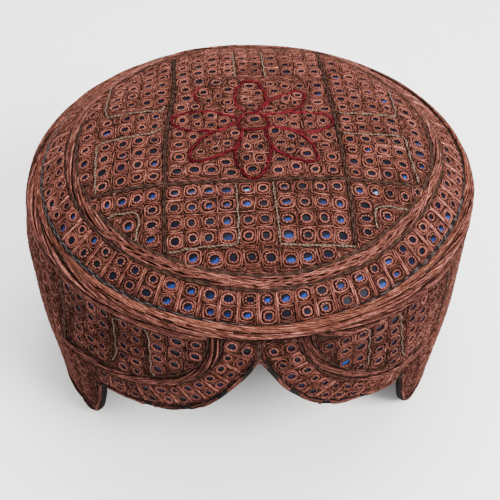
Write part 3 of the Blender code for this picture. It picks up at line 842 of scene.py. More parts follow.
def floss_material(name, colours, roughness=0.5):
    """Loose floss: long fine painted highlight streaks, painted shade in lines between fibres, and a silky
    shine.
    """
    shader, place, tone = thread_shader(name, colours, roughness)
    around = shader.times_plus(place[0], 0.22, shader.times(place[1], 7.0))
    coarse = shader.join(shader.times(place[0], 0.16), around, shader.times(tone[2], 40.0))
    streak = shader.noise(coarse, 1.0, 3.0, 0.65)
    close = shader.join(shader.times(place[0], 0.5), shader.times(around, 2.6), tone[2])
    fine = shader.noise(close, 1.0, 2.0)
    cloud = shader.noise(shader.coordinates("Object"), 160.0, 2.0)
    body = mottled(shader, colours, cloud, tone[2], 0.8, -0.6)
    # Painted highlight streaks along the strand
    bright = shader.math("ADD", tone[1], 0.35)
    painted_highlight = shader.times(shader.ramp(streak, 0.46, 0.64), bright, clamp=True)
    body = shader.mix(painted_highlight, body, colours["pale"])
    # Painted shade in dark lines between the fibres
    gap = shader.times(shader.ramp(fine, 0.52, 0.38), 0.9, clamp=True)
    shader.colour(shader.shaded(body, shader.times(shader.math("SUBTRACT", 1.0, gap), tone[0])))
    shader.bump(shader.times_plus(fine, 0.6, streak), 0.0003, 0.9)
    tangent = shader.node("Tangent", (), direction_type="UV_MAP", uv_map="thread")[0]
    shader.put(shader.surface.inputs["Tangent"], tangent)
    shader.surface.inputs["Anisotropic"].default_value = 0.8
    shader.surface.inputs["Metallic"].default_value = 0.45
    return shader.material


def cloth_material(name, deep, pale, threads_per_mm):
    """Plain woven cloth: two crossed sets of fine threads."""
    shader = Shader(name, 0.95, Specular_IOR_Level=0.04)
    place = shader.split(shader.coordinates("UV"))
    step = threads_per_mm * FULL_TURN
    warp, weft = (shader.math("SINE", shader.times(place[axis], step)) for axis in (0, 1))
    weave = shader.times_plus(shader.times(warp, weft), 0.3, 0.7)
    cloud = shader.noise(shader.coordinates("Object"), 320.0, 4.0)
    worn = shader.times(shader.ramp(cloud, 0.3, 0.75), weave, clamp=True)
    shader.colour(shader.mix(worn, deep, pale))
    shader.bump(shader.math("ADD", weave, cloud), 0.0002, 0.7)
    return shader.material


def mirror_material():
    """Small old mirror glass with a painted blue or pale reflection below and its ring's painted shadow at
    upper left.
    """
    shader = Shader("mirror_glass", 0.35, Specular_IOR_Level=0.03)
    colour, _ = shader.tone()
    place = shader.split(shader.coordinates("UV"))
    ripple = shader.noise(shader.coordinates("Object"), 600.0, 2.0)
    # Painted shadow of the sewn ring: towards the upper left the glass goes over into near black
    side = shader.times_plus(place[0], -0.4, shader.times(place[1], 0.85))
    edge = shader.times_plus(ripple, 1.1, side)
    shader.colour(shader.mix(shader.ramp(edge, 0.25, 0.7), colour, (0.004, 0.004, 0.007)))
    shader.bump(ripple, 0.0001, 0.4)
    return shader.material


# deep and middle are a yarn's own colours; pale is the colour of its painted highlights, which on the grey
# yarn make its glints
CROWN_PINK = {"deep": (0.022, 0.007, 0.005), "middle": (0.13, 0.036, 0.025), "pale": (0.51, 0.192, 0.148)}
# The wall's pink is the crown's pink made darker: painted shade on the upright wall, which gets less light
# from above
SHADED_WALL_PINK = {"deep": (0.015, 0.005, 0.004), "middle": (0.082, 0.0235, 0.0175), "pale": (0.37, 0.14, 0.108)}
CORD_ORANGE = {"deep": (0.022, 0.007, 0.005), "middle": (0.135, 0.039, 0.025), "pale": (0.53, 0.195, 0.136)}
TAN_YARN = {"deep": (0.024, 0.016, 0.012), "middle": (0.14, 0.088, 0.062), "pale": (0.42, 0.31, 0.23)}
DARK_YARN = {"deep": (0.006, 0.003, 0.0025), "middle": (0.03, 0.015, 0.011), "pale": (0.085, 0.046, 0.034)}
GREY_YARN = {"deep": (0.004, 0.003, 0.003), "middle": (0.014, 0.009, 0.009), "pale": (0.13, 0.11, 0.115)}
CRIMSON_YARN = {"deep": (0.022, 0.001, 0.003), "middle": (0.11, 0.005, 0.011), "pale": (0.28, 0.026, 0.040)}

CROWN_RING = twisted_material("crown_ring_thread", CROWN_PINK, 0.8, 1.0, groove=0.2, pricks=1.3)
SHADED_WALL_RING = twisted_material("shaded_wall_ring_thread", SHADED_WALL_PINK, 0.8, 1.0, groove=0.2, pricks=1.3)
CROWN_FLOSS = floss_material("crown_floss", CROWN_PINK)
SHADED_WALL_FLOSS = floss_material("shaded_wall_floss", SHADED_WALL_PINK, roughness=0.65)
EDGE_FLOSS = floss_material("edge_floss", CORD_ORANGE)
TAN_THREAD = twisted_material("tan_thread", TAN_YARN, 0.6, 1.0, groove=0.28)
DARK_THREAD = twisted_material("dark_thread", DARK_YARN, 0.22, 0.5, groove=0.1, specular=0.03)
GREY_THREAD = twisted_material("grey_thread", GREY_YARN, 0.17, 0.5, groove=0.3, roughness=0.5)
CRIMSON_THREAD = floss_material("crimson_floss", CRIMSON_YARN)
BROWN_CLOTH = cloth_material("brown_base_cloth", (0.008, 0.004, 0.003), (0.034, 0.014, 0.010), 2.1)
BLACK_CLOTH = cloth_material("black_binding_cloth", (0.003, 0.003, 0.003), (0.016, 0.013, 0.012), 2.6)
MIRROR_GLASS = mirror_material()


# Cloth walls

def crown_cloth():
    """Domed cloth shell that turns down into the seam under the edge cord."""
    turn = np.radians(np.arange(0, 360, 2.0))

    def skin_row(length, lift):
        chart = crown_chart(turn, length)
        return put_on(on_crown, chart, lift)[0], chart

    def seam_row(radius, height, length):
        return AXIS + radial(turn, radius, CROWN_HEIGHT + height), crown_chart(turn, length)

    rows = [skin_row(length, CLOTH_LIFT) for length in np.linspace(1.2, 96.4, 40)]
    rows += [seam_row(*row) for row in SEAM_ROWS]
    rows += [skin_row(length, CLOTH_LIFT - CLOTH_THICK) for length in np.linspace(93.6, 1.2, 16)]
    points, uvs = (np.stack(part) for part in zip(*rows))
    cloth = Stitches()
    cloth.skin(points[::-1], uvs[::-1])
    cloth.fan(points[0], uvs[0], inward=False)
    cloth.fan(points[-1], uvs[-1], inward=True)
    return cloth


def lower_edge(spacing):
    """The whole lower edge on the wall's chart, from the left tip over the front and round the back."""
    front = smooth_path(wall_chart(FRONT_EDGE), spacing)
    front[:, 1] = np.maximum(front[:, 1], -CROWN_HEIGHT)
    start, end = front[-1, 0], front[0, 0] + WALL_ROUND
    count = int((end - start) / spacing)
    back = joined(np.linspace(start, end, count + 1)[1:-1], -CROWN_HEIGHT)
    return np.vstack([front, back])


def inset(path, distance):
    """A closed path round the cap moved up into the cloth."""
    ahead = np.roll(path, -1, 0)
    behind = np.roll(path, 1, 0)
    ahead[-1, 0] += WALL_ROUND
    behind[0, 0] -= WALL_ROUND
    return path + left_of(unit(ahead - behind)) * distance


def wall_cloth(edge):
    """Upright cloth shell with its arched front edge."""
    low, level = inset(edge, 1.0), inset(edge, 3.2)
    share = np.linspace(0, 1, 17)[:, None]
    rise = level[:, 1] + (-WALL_TOP_DEPTH - level[:, 1]) * share
    columns = np.concatenate([low[None], joined(level[:, 0], rise)])
    outer, _ = put_on(on_wall, columns, CLOTH_LIFT)
    inner, _ = put_on(on_wall, columns, CLOTH_LIFT - CLOTH_THICK)
    points = np.concatenate([outer, inner[::-1]])
    uvs = np.concatenate([columns, columns[::-1]])
    cloth = Stitches()
    cloth.skin(points[::-1], uvs[::-1], closed_rows=True)
    return cloth


# Cells: a mirror with its sewn ring and outer loop

def turned_gap(gap, turn):
    """Sizes of gaps (..., 2) across and along axes turned to the left."""
    cos, sin = np.cos(turn), np.sin(turn)
    return np.abs(gap[..., 0] * cos + gap[..., 1] * sin), np.abs(gap[..., 1] * cos - gap[..., 0] * sin)


class Cells:
    """Places, turns and half sizes of the cells on one chart."""

    def __init__(self, place):
        self.place = place
        self.xy = np.zeros((0, 2))
        self.turn = np.zeros(0)

    def add(self, points, turns=0.0):
        points = np.asarray(points, float).reshape(-1, 2)
        self.xy = np.vstack([self.xy, points])
        self.turn = np.concatenate([self.turn, np.broadcast_to(turns, len(points))])

    def settle(self):
        """Size each cell by its neighbours beside and above it."""
        across, along = turned_gap(self.xy[None] - self.xy[:, None], self.turn[:, None])
        other = ~np.eye(len(self.xy), dtype=bool)
        wide = np.where((along < SAME_ROW) & other, across, CELL_PITCH).min(1) / 2
        tall = np.where((across < SAME_ROW) & other, along, CELL_PITCH).min(1) / 2
        self.half = np.clip(joined(wide, tall) - CELL_GAP, *HALF_RANGE)

    def spread(self, x, y):
        """Chart points from offsets (M, N) along each cell's own axes."""
        cos, sin = np.cos(self.turn)[:, None], np.sin(self.turn)[:, None]
        return joined(self.xy[:, :1] + x * cos - y * sin, self.xy[:, 1:] + x * sin + y * cos)

    def clearance(self, points, chosen):
        """Distances (P, M) from chart points to the chosen cells' outlines."""
        half = self.half[chosen]
        across, along = turned_gap(points[:, None] - self.xy[None, chosen], self.turn[chosen])
        cubes = (across / half[:, 0]) ** 3 + (along / half[:, 1]) ** 3
        return (cubes ** (1 / 3) - 1) * half.mean(1)


def superellipse(turn, power):
    return (np.abs(np.cos(turn)) ** power + np.abs(np.sin(turn)) ** power) ** (-1 / power)


def cell_loops(cells, reach, power, wobble):
    """Closed hand-drawn loops round the cells' centres in the chart, (M, LOOP_POINTS, 2)."""
    many = len(cells.xy)
    turn = full_circle(LOOP_POINTS, 0.5)
    shape = np.tile(superellipse(turn, power), (many, 1))
    for wave in (1, 2, 3):
        size = RANDOM.normal(0, wobble / wave, (many, 1))
        shape += size * np.cos(wave * turn + RANDOM.uniform(0, FULL_TURN, (many, 1)))
    return cells.spread(reach[:, :1] * shape * np.cos(turn), reach[:, 1:] * shape * np.sin(turn))


def tones(count, dark, bright, pale=0.5):
    """Brightness, strength of the painted highlight and chance value for each thread."""
    ranges = ((dark, bright), (0, pale), (0, 1))
    return joined(*(RANDOM.uniform(low, high, count) for low, high in ranges))


def painted_reflections(reflection_share):
    """Painted reflections for the mirrors: mostly near black, some navy or blue, a few pale."""
    dark, navy = np.array((0.003, 0.003, 0.006)), np.array((0.004, 0.005, 0.020))
    blue, pale = np.array((0.014, 0.044, 0.210)), np.array((0.080, 0.260, 0.480))
    chance = RANDOM.uniform(0, 1, len(reflection_share))
    strength = RANDOM.uniform(0, 1, len(reflection_share))[:, None]
    # Painted blue reflections on some mirrors, and a few pale painted reflections on the crown
    colour = dark + (navy - dark) * strength ** 2
    blue_reflection = chance < reflection_share
    colour[blue_reflection] = (navy + (blue - navy) * strength)[blue_reflection]
    colour[(chance > 0.98) & (reflection_share > 0.2)] = pale
    return colour


def reflection_shares(cells, blue):
    """Each crown mirror's chance of a painted blue reflection, by the side of a line on which it lies."""
    return np.where(cells.xy[:, 1] < blue["line"], blue["front"], blue["behind"])


def sew_loops(cells, reach, size, loop, material, name):
    path = cell_loops(cells, reach, loop.power, loop.wobble)
    point, normal = put_on(cells.place, path, loop.lift)
    tone = tones(len(cells.xy), loop.dark, loop.bright)
    stitches = Stitches()
    stitches.threads(point, normal, loop.width * size, loop.height, tone, closed=True)
    stitches.build(name, material, "embroidered_cloth")


def sew_cells(cells, name, ring_material, loop_material, reflection_share):
    """Mirrors, sewn rings and outer loops for every cell; reflection_share gives each mirror's chance of a
    painted blue reflection.
    """
    many = len(cells.xy)
    size = (cells.half / FULL_HALF).mean(1)[:, None]
    opening = cells.half * MIRROR_SHARE * RANDOM.uniform(0.82, 1.12, (many, 1))
    opening = opening * RANDOM.uniform(0.88, 1.10, (many, 2))

    centre, up = put_on(cells.place, cells.xy, MIRROR_LIFT)
    ahead, _ = put_on(cells.place, cells.xy + [0.05, 0], MIRROR_LIFT)
    across = unit(ahead - centre)
    along = np.cross(up, across)
    cos, sin = np.cos(cells.turn)[:, None], np.sin(cells.turn)[:, None]
    outline = superellipse(full_circle(MIRROR_SIDES), MIRROR_RING.power)
    outline = outline * (1 + RANDOM.normal(0, 0.05, (many, MIRROR_SIDES)))
    outline = outline * (opening.mean(1)[:, None] + MIRROR_TUCK)
    stretch = np.sqrt(opening[:, :1] / opening[:, 1:])
    across, along = (across * cos + along * sin) * stretch, (along * cos - across * sin) / stretch
    mirrors = Stitches()
    mirrors.discs(centre, across, along, outline, up * MIRROR_DOME, cells.turn, painted_reflections(reflection_share))
    mirrors.build(name + "_mirrors", MIRROR_GLASS, "sewn_mirror")

    sew_loops(cells, opening + RING_GAP * size, size, MIRROR_RING, ring_material, name + "_mirror_rings")
    sew_loops(cells, cells.half - LOOP_INSET, size, CELL_LOOP, loop_material, name + "_cell_loops")


def nearest(points, line_points):
    """Distance from each point to the nearest of the line points."""
    best = np.full(len(points), 1e9)
    for part in np.array_split(line_points, len(line_points) // 400 + 1):
        gap = points[:, None] - part[None]
        best = np.minimum(best, np.hypot(gap[..., 0], gap[..., 1]).min(1))
    return best


def bar_lines(cells, blocked, clear):
    """Short straight bars between neighbouring cells, as (M, 2, 2) chart points."""
    gap = cells.xy[None] - cells.xy[:, None]
    distance = np.hypot(gap[..., 0], gap[..., 1])
    least, most = BAR_REACH
    first, second = np.where(np.triu((distance < most) & (distance > least), 1))
    middle = 0.5 * (cells.xy[first] + cells.xy[second])
    toward = gap[first, second] / distance[first, second][:, None]
    angle = np.arctan2(toward[:, 1], toward[:, 0]) - cells.turn[first]
    keep = (nearest(middle, blocked) > clear) & (np.abs(np.sin(2 * angle)) < 0.72)
    keep &= RANDOM.uniform(0, 1, len(middle)) > 0.12
    middle, toward = middle[keep], toward[keep]
    half = 0.5 * (cells.half[first[keep]].mean(1) + cells.half[second[keep]].mean(1))
    half = (half + RANDOM.uniform(-0.2, 0.7, len(middle)))[:, None]
    across = left_of(toward) + toward * RANDOM.normal(0, 0.10, (len(middle), 1))
    return np.stack([middle - across * half, middle + across * half], 1)


def points_along(lines, count):
    """Even points (M, count, 2) along straight lines (M, 2, 2)."""
    share = np.linspace(0, 1, count)[None, :, None]
    return lines[:, None, 0] * (1 - share) + lines[:, None, 1] * share


def along_lines(lines, spacing=0.7):
    """Points along straight lines, to keep other stitches clear of them."""
    longest = np.hypot(*(lines[:, 1] - lines[:, 0]).T).max()
    return points_along(lines, int(longest / spacing) + 2).reshape(-1, 2)


def sew_bars(stitches, place, lines, bar, apart=0.0):
    """Straight threads along chart lines, thinner at their ends and moved aside by apart."""
    tone = tones(len(lines), bar.dark, bar.bright, bar.pale)
    along = unit(lines[:, 1] - lines[:, 0])
    path = points_along(lines, bar.count) + left_of(along)[:, None] * apart
    fullness = np.sin(np.linspace(0.12, math.pi - 0.12, bar.count)) ** 0.4
    point, normal = put_on(place, path, bar.lift + 0.12 * (fullness - 1))
    stitches.threads(point, normal, bar.width * (0.7 + 0.3 * fullness), bar.height, tone, sides=4)


def room(points, cells, blocked):
    """How far chart points lie from the nearest cell's outline or blocked line."""
    space = np.empty(len(points))
    for part in np.array_split(np.arange(len(points)), len(points) // 1000 + 1):
        close = np.ptp(points[part], axis=0) / 2 + 12
        middle = 0.5 * (points[part].max(0) + points[part].min(0))
        near_cells = np.all(np.abs(cells.xy - middle) < close, axis=1)
        near_lines = np.all(np.abs(blocked - middle) < close, axis=1)
        space[part] = 9.0
        if near_cells.any():
            space[part] = cells.clearance(points[part], near_cells).min(1)
        if near_lines.any():
            space[part] = np.minimum(space[part], nearest(points[part], blocked[near_lines]) - 0.45)
    return space


def filling_lines(cells, blocked, inside, corners, spacing):
    """Short stitches (M, 3, 2) that follow the outlines round the gaps they lie in."""
    (left, low), (right, high) = corners
    x, y = np.meshgrid(np.arange(left, right, spacing), np.arange(low, high, spacing))
    points = joined(x.ravel(), y.ravel()) + RANDOM.uniform(-0.5, 0.5, (x.size, 2)) * spacing
    points = points[inside(points)]
    points = points[room(points, cells, blocked) > FILLING_ROOM]
    here = room(points, cells, blocked)
    slope = joined(*(room(points + step, cells, blocked) - here for step in ([0.15, 0], [0, 0.15])))
    along = unit(left_of(slope) + 1e-9)
    half = RANDOM.uniform(0.9, 1.7, (len(points), 1))
    ends = [points - along * half, points + along * half]
    reach = [np.clip(room(end, cells, blocked) + 0.5, 0.25, 1.0)[:, None] for end in ends]
    return np.stack([points - along * half * reach[0], points, points + along * half * reach[1]], 1)


def sew_filling(cells, blocked, inside, corners, spacing, name, material):
    lines = filling_lines(cells, blocked, inside, corners, spacing)
    stitches = Stitches()
    lift = -0.14 + RANDOM.normal(0, 0.09, (len(lines), 1)) + np.array([-0.12, 0.0, -0.12])
    point, normal = put_on(cells.place, lines, lift)
    width = FILLING_WIDTH * np.array([0.7, 1.0, 0.7])
    tone = tones(len(lines), 0.35, 0.95, 0.8)
    stitches.threads(point, normal, width, FILLING_HEIGHT, tone, sides=4)
    stitches.build(name, material, "embroidered_cloth")


def crown_cells():
    cells = Cells(on_crown)
    cells.add(CENTRE_CELLS, RANDOM.normal(0, 0.12, len(CENTRE_CELLS)))
    for block in CROWN_BLOCKS:
        x, y = np.meshgrid(block.columns, block.rows)
        y = y + block.climb * (x - x[0, 0])
        points = joined(x.ravel(), y.ravel())
        points = points[border_reach(points) < INNER_LINE - 4.0]
        cells.add(points + RANDOM.normal(0, 0.16, points.shape), RANDOM.normal(0, 0.06, len(points)))
    cells.add(CROWN_EDGE_CELLS, RANDOM.normal(0, 0.1, len(CROWN_EDGE_CELLS)))
    return cells


def border_turns():
    """Angles of the border's mirror pairs all round, from the charted front half."""
    front = np.array(BORDER_AZIMUTHS)
    back = np.linspace(front[-1], front[0] + 360, BORDER_BACK_PAIRS + 2)[1:-1]
    return np.radians(np.concatenate([front, back]))


def border_cells(turns):
    cells = Cells(on_crown)
    for row in BORDER_ROWS:
        turn = turns + RANDOM.normal(0, 0.003, len(turns))
        reach = row + border_shift(turn) + RANDOM.normal(0, 0.15, len(turns))
        cells.add(crown_chart(turn, reach), turn)
    return cells


def border_lines(turns, start, end):
    """Radial lines between the border's pairs, as (M, 2, 2) chart points."""
    ahead = np.roll(turns, -1)
    ahead[-1] += FULL_TURN
    middle = 0.5 * (turns + ahead)
    shift = border_shift(middle)
    return np.stack([crown_chart(middle, length + shift) for length in (start, end)], 1)


def cord_depth(azimuth):
    """Depth of the arch cord's middle at an azimuth on its side."""
    knots = np.array(ARCH_CORDS["left"][::-1] if azimuth < 0 else ARCH_CORDS["right"])
    return np.interp(azimuth, knots[:, 0], knots[:, 1])


def wall_grid():
    """Mirrors in columns above the arch cords and over the sides and back."""
    pitch = (180 - SIDE_COLUMN_START) / (SIDE_COLUMNS - 0.5)
    sides = SIDE_COLUMN_START + pitch * np.arange(SIDE_COLUMNS)
    points = []
    for column in np.concatenate([WALL_COLUMNS, sides, -sides]):
        rows = WALL_ROWS["left" if column < 0 else "right"]
        lean = COLUMN_LEAN * column if abs(column) < SIDE_COLUMN_START else 0.0
        for depth in np.arange(rows["first"], CROWN_HEIGHT - 4.5, rows["pitch"]):
            azimuth = column + lean * (depth - rows["first"])
            if abs(column) > 43 or depth < cord_depth(azimuth):
                points.append((azimuth * DEGREE, -depth))
    return np.array(points)


def wall_cells(edge, blocked):
    cells = Cells(on_wall)
    for row in ARCH_ROWS:
        points = np.array(wall_chart(row))
        rise = np.gradient(points, axis=0)
        cells.add(points, np.arctan2(rise[:, 1], rise[:, 0]) % (math.pi / 2))
    points = wall_grid()
    points = points + RANDOM.normal(0, 0.26, points.shape)
    keep = nearest(points, np.vstack([edge, edge - [WALL_ROUND, 0]])) > EDGE_CLEAR
    keep &= (nearest(points, blocked) > LINE_CLEAR) & (nearest(points, cells.xy) > CELL_CLEAR)
    cells.add(points[keep], RANDOM.normal(0, 0.07, keep.sum()))
    return cells


def arch_lines():
    """Lines between the arch's mirror pairs, as (M, 2, 2) chart points."""
    found = []
    for outer, inner in zip(ARCH_ROWS[::2], ARCH_ROWS[1::2]):
        count = min(len(outer), len(inner))
        outer, inner = np.array(wall_chart(outer[:count])), np.array(wall_chart(inner[:count]))
        start, end = 0.5 * (outer[1:] + outer[:-1]), 0.5 * (inner[1:] + inner[:-1])
        reach = 0.42 * (end - start)
        found.append(np.stack([start - reach, end + reach], 1))
    return np.concatenate(found)


def lead(stitches, place, knots, line):
    """Parallel threads along a smooth line, gently weaving."""
    path = smooth_path(knots, line.spacing)
    run = np.arange(len(path)) * line.spacing
    for offset in line.offsets:
        swing = line.weave * np.sin(run * 0.9 + RANDOM.uniform(0, 6.28))
        point, normal = put_on(place, moved(path, offset + swing), line.lift + 0.3 * swing)
        tone = np.array(line.tone) * (RANDOM.uniform(0.85, 1.12), 1, 1)
        stitches.threads(point[None], normal[None], line.width, line.height, tone)


def circle_threads(stitches, middle, circle):
    """Two threads round the crown, on either side of a line at the border's shifting length."""
    turn = np.radians(np.arange(0, 360, 1.2))
    for length in (middle - circle.aside, middle + circle.aside):
        point, normal = on_border(turn, length + 0.12 * np.sin(turn * 37 + length), circle.lift)
        stitches.threads(point[None], normal[None], circle.width, circle.height, circle.tone, closed=True)


def lay(stitches, across, total, laid, closed):
    """Long stitches laid side by side along a route, drifting from one of its sides to the other.

    across(run, aside, lift) places a run along the route and a share aside of its half width.
    """
    length = laid.length
    reach = (0, total) if closed else (-0.6 * length, total - 0.4 * length)
    raw = np.arange(*reach, laid.step)
    raw = raw + RANDOM.uniform(-0.3, 0.3, len(raw)) * laid.step
    start, end = raw, raw + length
    if not closed:
        start, end = np.maximum(start, 0), np.minimum(end, total)
    share = np.linspace(0, 1, 10)
    run = start[:, None] + (end - start)[:, None] * share
    drift = laid.slant * (2 * (run - raw[:, None]) / length - 1)
    drift = drift + RANDOM.normal(0, laid.scatter, (len(raw), 1))
    rise = laid.rise + 0.22 * np.sin(math.pi * share) + RANDOM.normal(0, 0.07, (len(raw), 1))
    point, normal = across(run, np.clip(drift, -1, 1), rise)
    taper = 0.5 + 0.5 * np.sin(math.pi * np.clip(share, 0.04, 0.96)) ** 0.5
    tone = tones(len(raw), laid.dark, laid.bright, laid.pale)
    stitches.threads(point, normal, laid.width * taper, laid.height * taper, tone, sides=6)


# The cap's pieces

def add_cloths(edge):
    piece = crown_cloth().build("crown_cloth", BROWN_CLOTH, "embroidered_cloth", ["crown_panel"])
    piece = wall_cloth(edge).build("wall_cloth", BROWN_CLOTH, "embroidered_cloth", ["side_band"])


def add_crown_embroidery():
    cells = crown_cells()
    cells.settle()
    sew_cells(cells, "crown", CROWN_RING, CROWN_FLOSS, reflection_shares(cells, CROWN_REFLECTION))
    fine_lines = [smooth_path(knots, LINE_SPACING) for knots in (*FLOWER.values(), *CROWN_TAN_LINES)]
    middles = [smooth_path(knots, LINE_SPACING) for knots in CROWN_DIVIDERS]
    dividers = [moved(path, aside) for path in middles for aside in (-0.4, 0.4)]
    blocked = np.concatenate(fine_lines + dividers)
    bars = bar_lines(cells, blocked, 1.6)
    stitches = Stitches()
    sew_bars(stitches, on_crown, bars, CROWN_BAR)
    stitches.build("crown_bars", CROWN_FLOSS, "embroidered_cloth")

    def inside(points):
        return border_reach(points) < INNER_LINE - 1.0

    kept_clear = np.concatenate([blocked, along_lines(bars)])
    corners = ((-80, -80), (80, 80))
    sew_filling(cells, kept_clear, inside, corners, CROWN_FILLING, "crown_filling", CROWN_FLOSS)


def add_border_embroidery():
    turns = border_turns()
    cells = border_cells(turns)
    cells.settle()
    sew_cells(cells, "border", CROWN_RING, CROWN_FLOSS, reflection_shares(cells, BORDER_REFLECTION))
    radial = border_lines(turns, *RADIAL_LINES)
    between = 0.5 * sum(BORDER_ROWS)
    lengths = between + border_shift(turns)
    level = np.stack([crown_chart(turns + aside, lengths) for aside in (-0.030, 0.030)], 1)
    stitches = Stitches()
    for apart in (-0.36, 0.36):
        sew_bars(stitches, on_crown, radial, RADIAL_BAR, apart)
    sew_bars(stitches, on_crown, level, LEVEL_BAR)
    stitches.build("border_bars", CROWN_FLOSS, "embroidered_cloth")

    def inside(points):
        reach = border_reach(points)
        return (reach > OUTER_LINE + 0.9) & (reach < GLINT_LINE - 0.9)

    kept_clear = along_lines(np.concatenate([radial, level]))
    corners = ((-100, -100), (100, 100))
    sew_filling(cells, kept_clear, inside, corners, CROWN_FILLING, "border_filling", CROWN_FLOSS)


def add_wall_embroidery(edge, cords):
    dividers = [smooth_path(wall_chart(knots), LINE_SPACING) for knots in WALL_DIVIDERS]
    tan_lines = [smooth_path(wall_chart(knots), LINE_SPACING) for knots in WALL_TAN_LINES]
    cells = wall_cells(edge, np.concatenate(dividers + cords))
    cells.settle()
    sew_cells(cells, "wall", SHADED_WALL_RING, SHADED_WALL_FLOSS, np.full(len(cells.xy), WALL_REFLECTION))
    radial = arch_lines()
    blocked = np.concatenate(dividers + tan_lines + cords + [along_lines(radial)])
    bars = bar_lines(cells, blocked, 1.7)
    stitches = Stitches()
    sew_bars(stitches, on_wall, bars, WALL_BAR)
    for apart in (-0.34, 0.34):
        sew_bars(stitches, on_wall, radial, ARCH_BAR, apart)
    stitches.build("wall_bars", SHADED_WALL_FLOSS, "embroidered_cloth")

    cord_sides = [moved(path, aside) for path in cords for aside in (-2.4, -1.2, 1.2, 2.4)]
    hem_line = inset(edge, 1.8)
    around = np.vstack([hem_line, hem_line - [WALL_ROUND, 0]])
    kept_clear = np.concatenate([blocked, along_lines(bars)] + cord_sides)

    def inside(points):
        azimuth = points[:, 0] / DEGREE
        front_top = np.where(np.abs(azimuth) < TOP_CORD["start"], 4.6, TOP_CORD["left"] + 0.6)
        top = np.where(azimuth > TOP_CORD["start"], TOP_CORD["right"] + 0.6, front_top)
        between = (-points[:, 1] > top) & (points[:, 1] > -CROWN_HEIGHT + 3.4)
        return between & (nearest(points, around) > 0.7) & within_wall(points)

    corners = ((-302, -CROWN_HEIGHT), (302, 0))
    sew_filling(cells, kept_clear, inside, corners, WALL_FILLING, "wall_filling", SHADED_WALL_FLOSS)


def within_wall(points):
    """Whether chart points lie above the arched front edge."""
    front = np.array(sorted(wall_chart(FRONT_EDGE)))
    level = np.interp(points[:, 0], *front.T, left=-CROWN_HEIGHT, right=-CROWN_HEIGHT)
    return points[:, 1] > level + 2.0


def add_lines(cords):
    flower = Stitches()
    for knots in FLOWER.values():
        lead(flower, on_crown, knots, FLOWER_LINE)
    flower.build("flower_outline", CRIMSON_THREAD, "crimson_thread")

    dark = Stitches()
    for knots in CROWN_DIVIDERS:
        lead(dark, on_crown, knots, CROWN_DIVIDER)
    for length in (INNER_LINE, OUTER_LINE):
        circle_threads(dark, length, DARK_CIRCLE)
    for knots in WALL_DIVIDERS:
        lead(dark, on_wall, wall_chart(knots), WALL_DIVIDER)
    for path in cords:
        lead(dark, on_wall, path[::4], ARCH_SIDE)
    dark.build("dark_lines", DARK_THREAD, "couched_cord")

    grey = Stitches()
    circle_threads(grey, GLINT_LINE, GREY_CIRCLE)
    grey.build("grey_border_line", GREY_THREAD, "couched_cord")

    tan = Stitches()
    for knots in CROWN_TAN_LINES:
        lead(tan, on_crown, knots, CROWN_TAN)
    for knots in WALL_TAN_LINES:
        lead(tan, on_wall, wall_chart(knots), WALL_TAN)
    tan.build("tan_lines", TAN_THREAD, "couched_cord")


def add_strands(name, kind, across, total, material, closed=False, slot="couched_cord", replaced=()):
    strands = Stitches()
    lay(strands, across, total, LAID[kind], closed)
    strands.build(name, material, slot, replaced)


def add_edge_cord():
    """A smooth orange bundle beside the border, and pink strands from it down over the seam."""
    turn = np.radians(np.arange(0, 360, 1.2))
    lean = math.radians(EDGE_CORD["lean"])
    radius, height = cord_section(0, -EDGE_CORE["below"])
    point = AXIS + radial(turn, radius, CROWN_HEIGHT + height)
    up = radial(turn, math.sin(lean), math.cos(lean))
    core = Stitches()
    half_width, half_thickness = EDGE_CORE["half_width"], EDGE_CORE["half_thickness"]
    core.threads(point[None], up[None], half_width, half_thickness, (0.8, 0.2, 0.5), sides=8, closed=True)
    core.build("edge_cord_core", DARK_THREAD, "couched_cord", ["crown_edge_cord"])

    around = FULL_TURN * CROWN_RADIUS

    def bundle(run, aside, lift):
        at = run / CROWN_RADIUS
        middle = GLINT_LINE + border_shift(at) + EDGE_BUNDLE_START + EDGE_BUNDLE_HALF
        return on_edge(at, middle + EDGE_BUNDLE_HALF * aside, lift)

    def rest(run, aside, lift):
        at = run / CROWN_RADIUS
        start = GLINT_LINE + border_shift(at) + EDGE_BUNDLE_START
        start = start + 2 * EDGE_BUNDLE_HALF + EDGE_BUNDLE_GAP
        half = 0.5 * (EDGE_OUTER_LENGTH - start)
        return on_edge(at, start + half * (1 + aside), lift)

    add_strands("edge_bundle", "edge_bundle", bundle, around, EDGE_FLOSS, closed=True)
    add_strands("edge_cord_strands", "edge_cord", rest, around, CROWN_FLOSS, closed=True)


def add_ring_cord():
    """Strands all round, with strands of the other slant over them on the front."""
    def across(run, aside, lift):
        return on_border(run / RING_CORD, RING_CORD + RING_CORD_HALF * aside, lift)

    def across_front(run, aside, lift):
        return across(run + CROSSING_START * RING_CORD, aside, lift)

    strands = Stitches()
    lay(strands, across, FULL_TURN * RING_CORD, LAID["ring_cord"], closed=True)
    lay(strands, across_front, CROSSING_TURN * RING_CORD, LAID["ring_crossing"], closed=False)
    strands.build("ring_cord_strands", CROWN_FLOSS, "couched_cord", ["crown_ring_cord"])


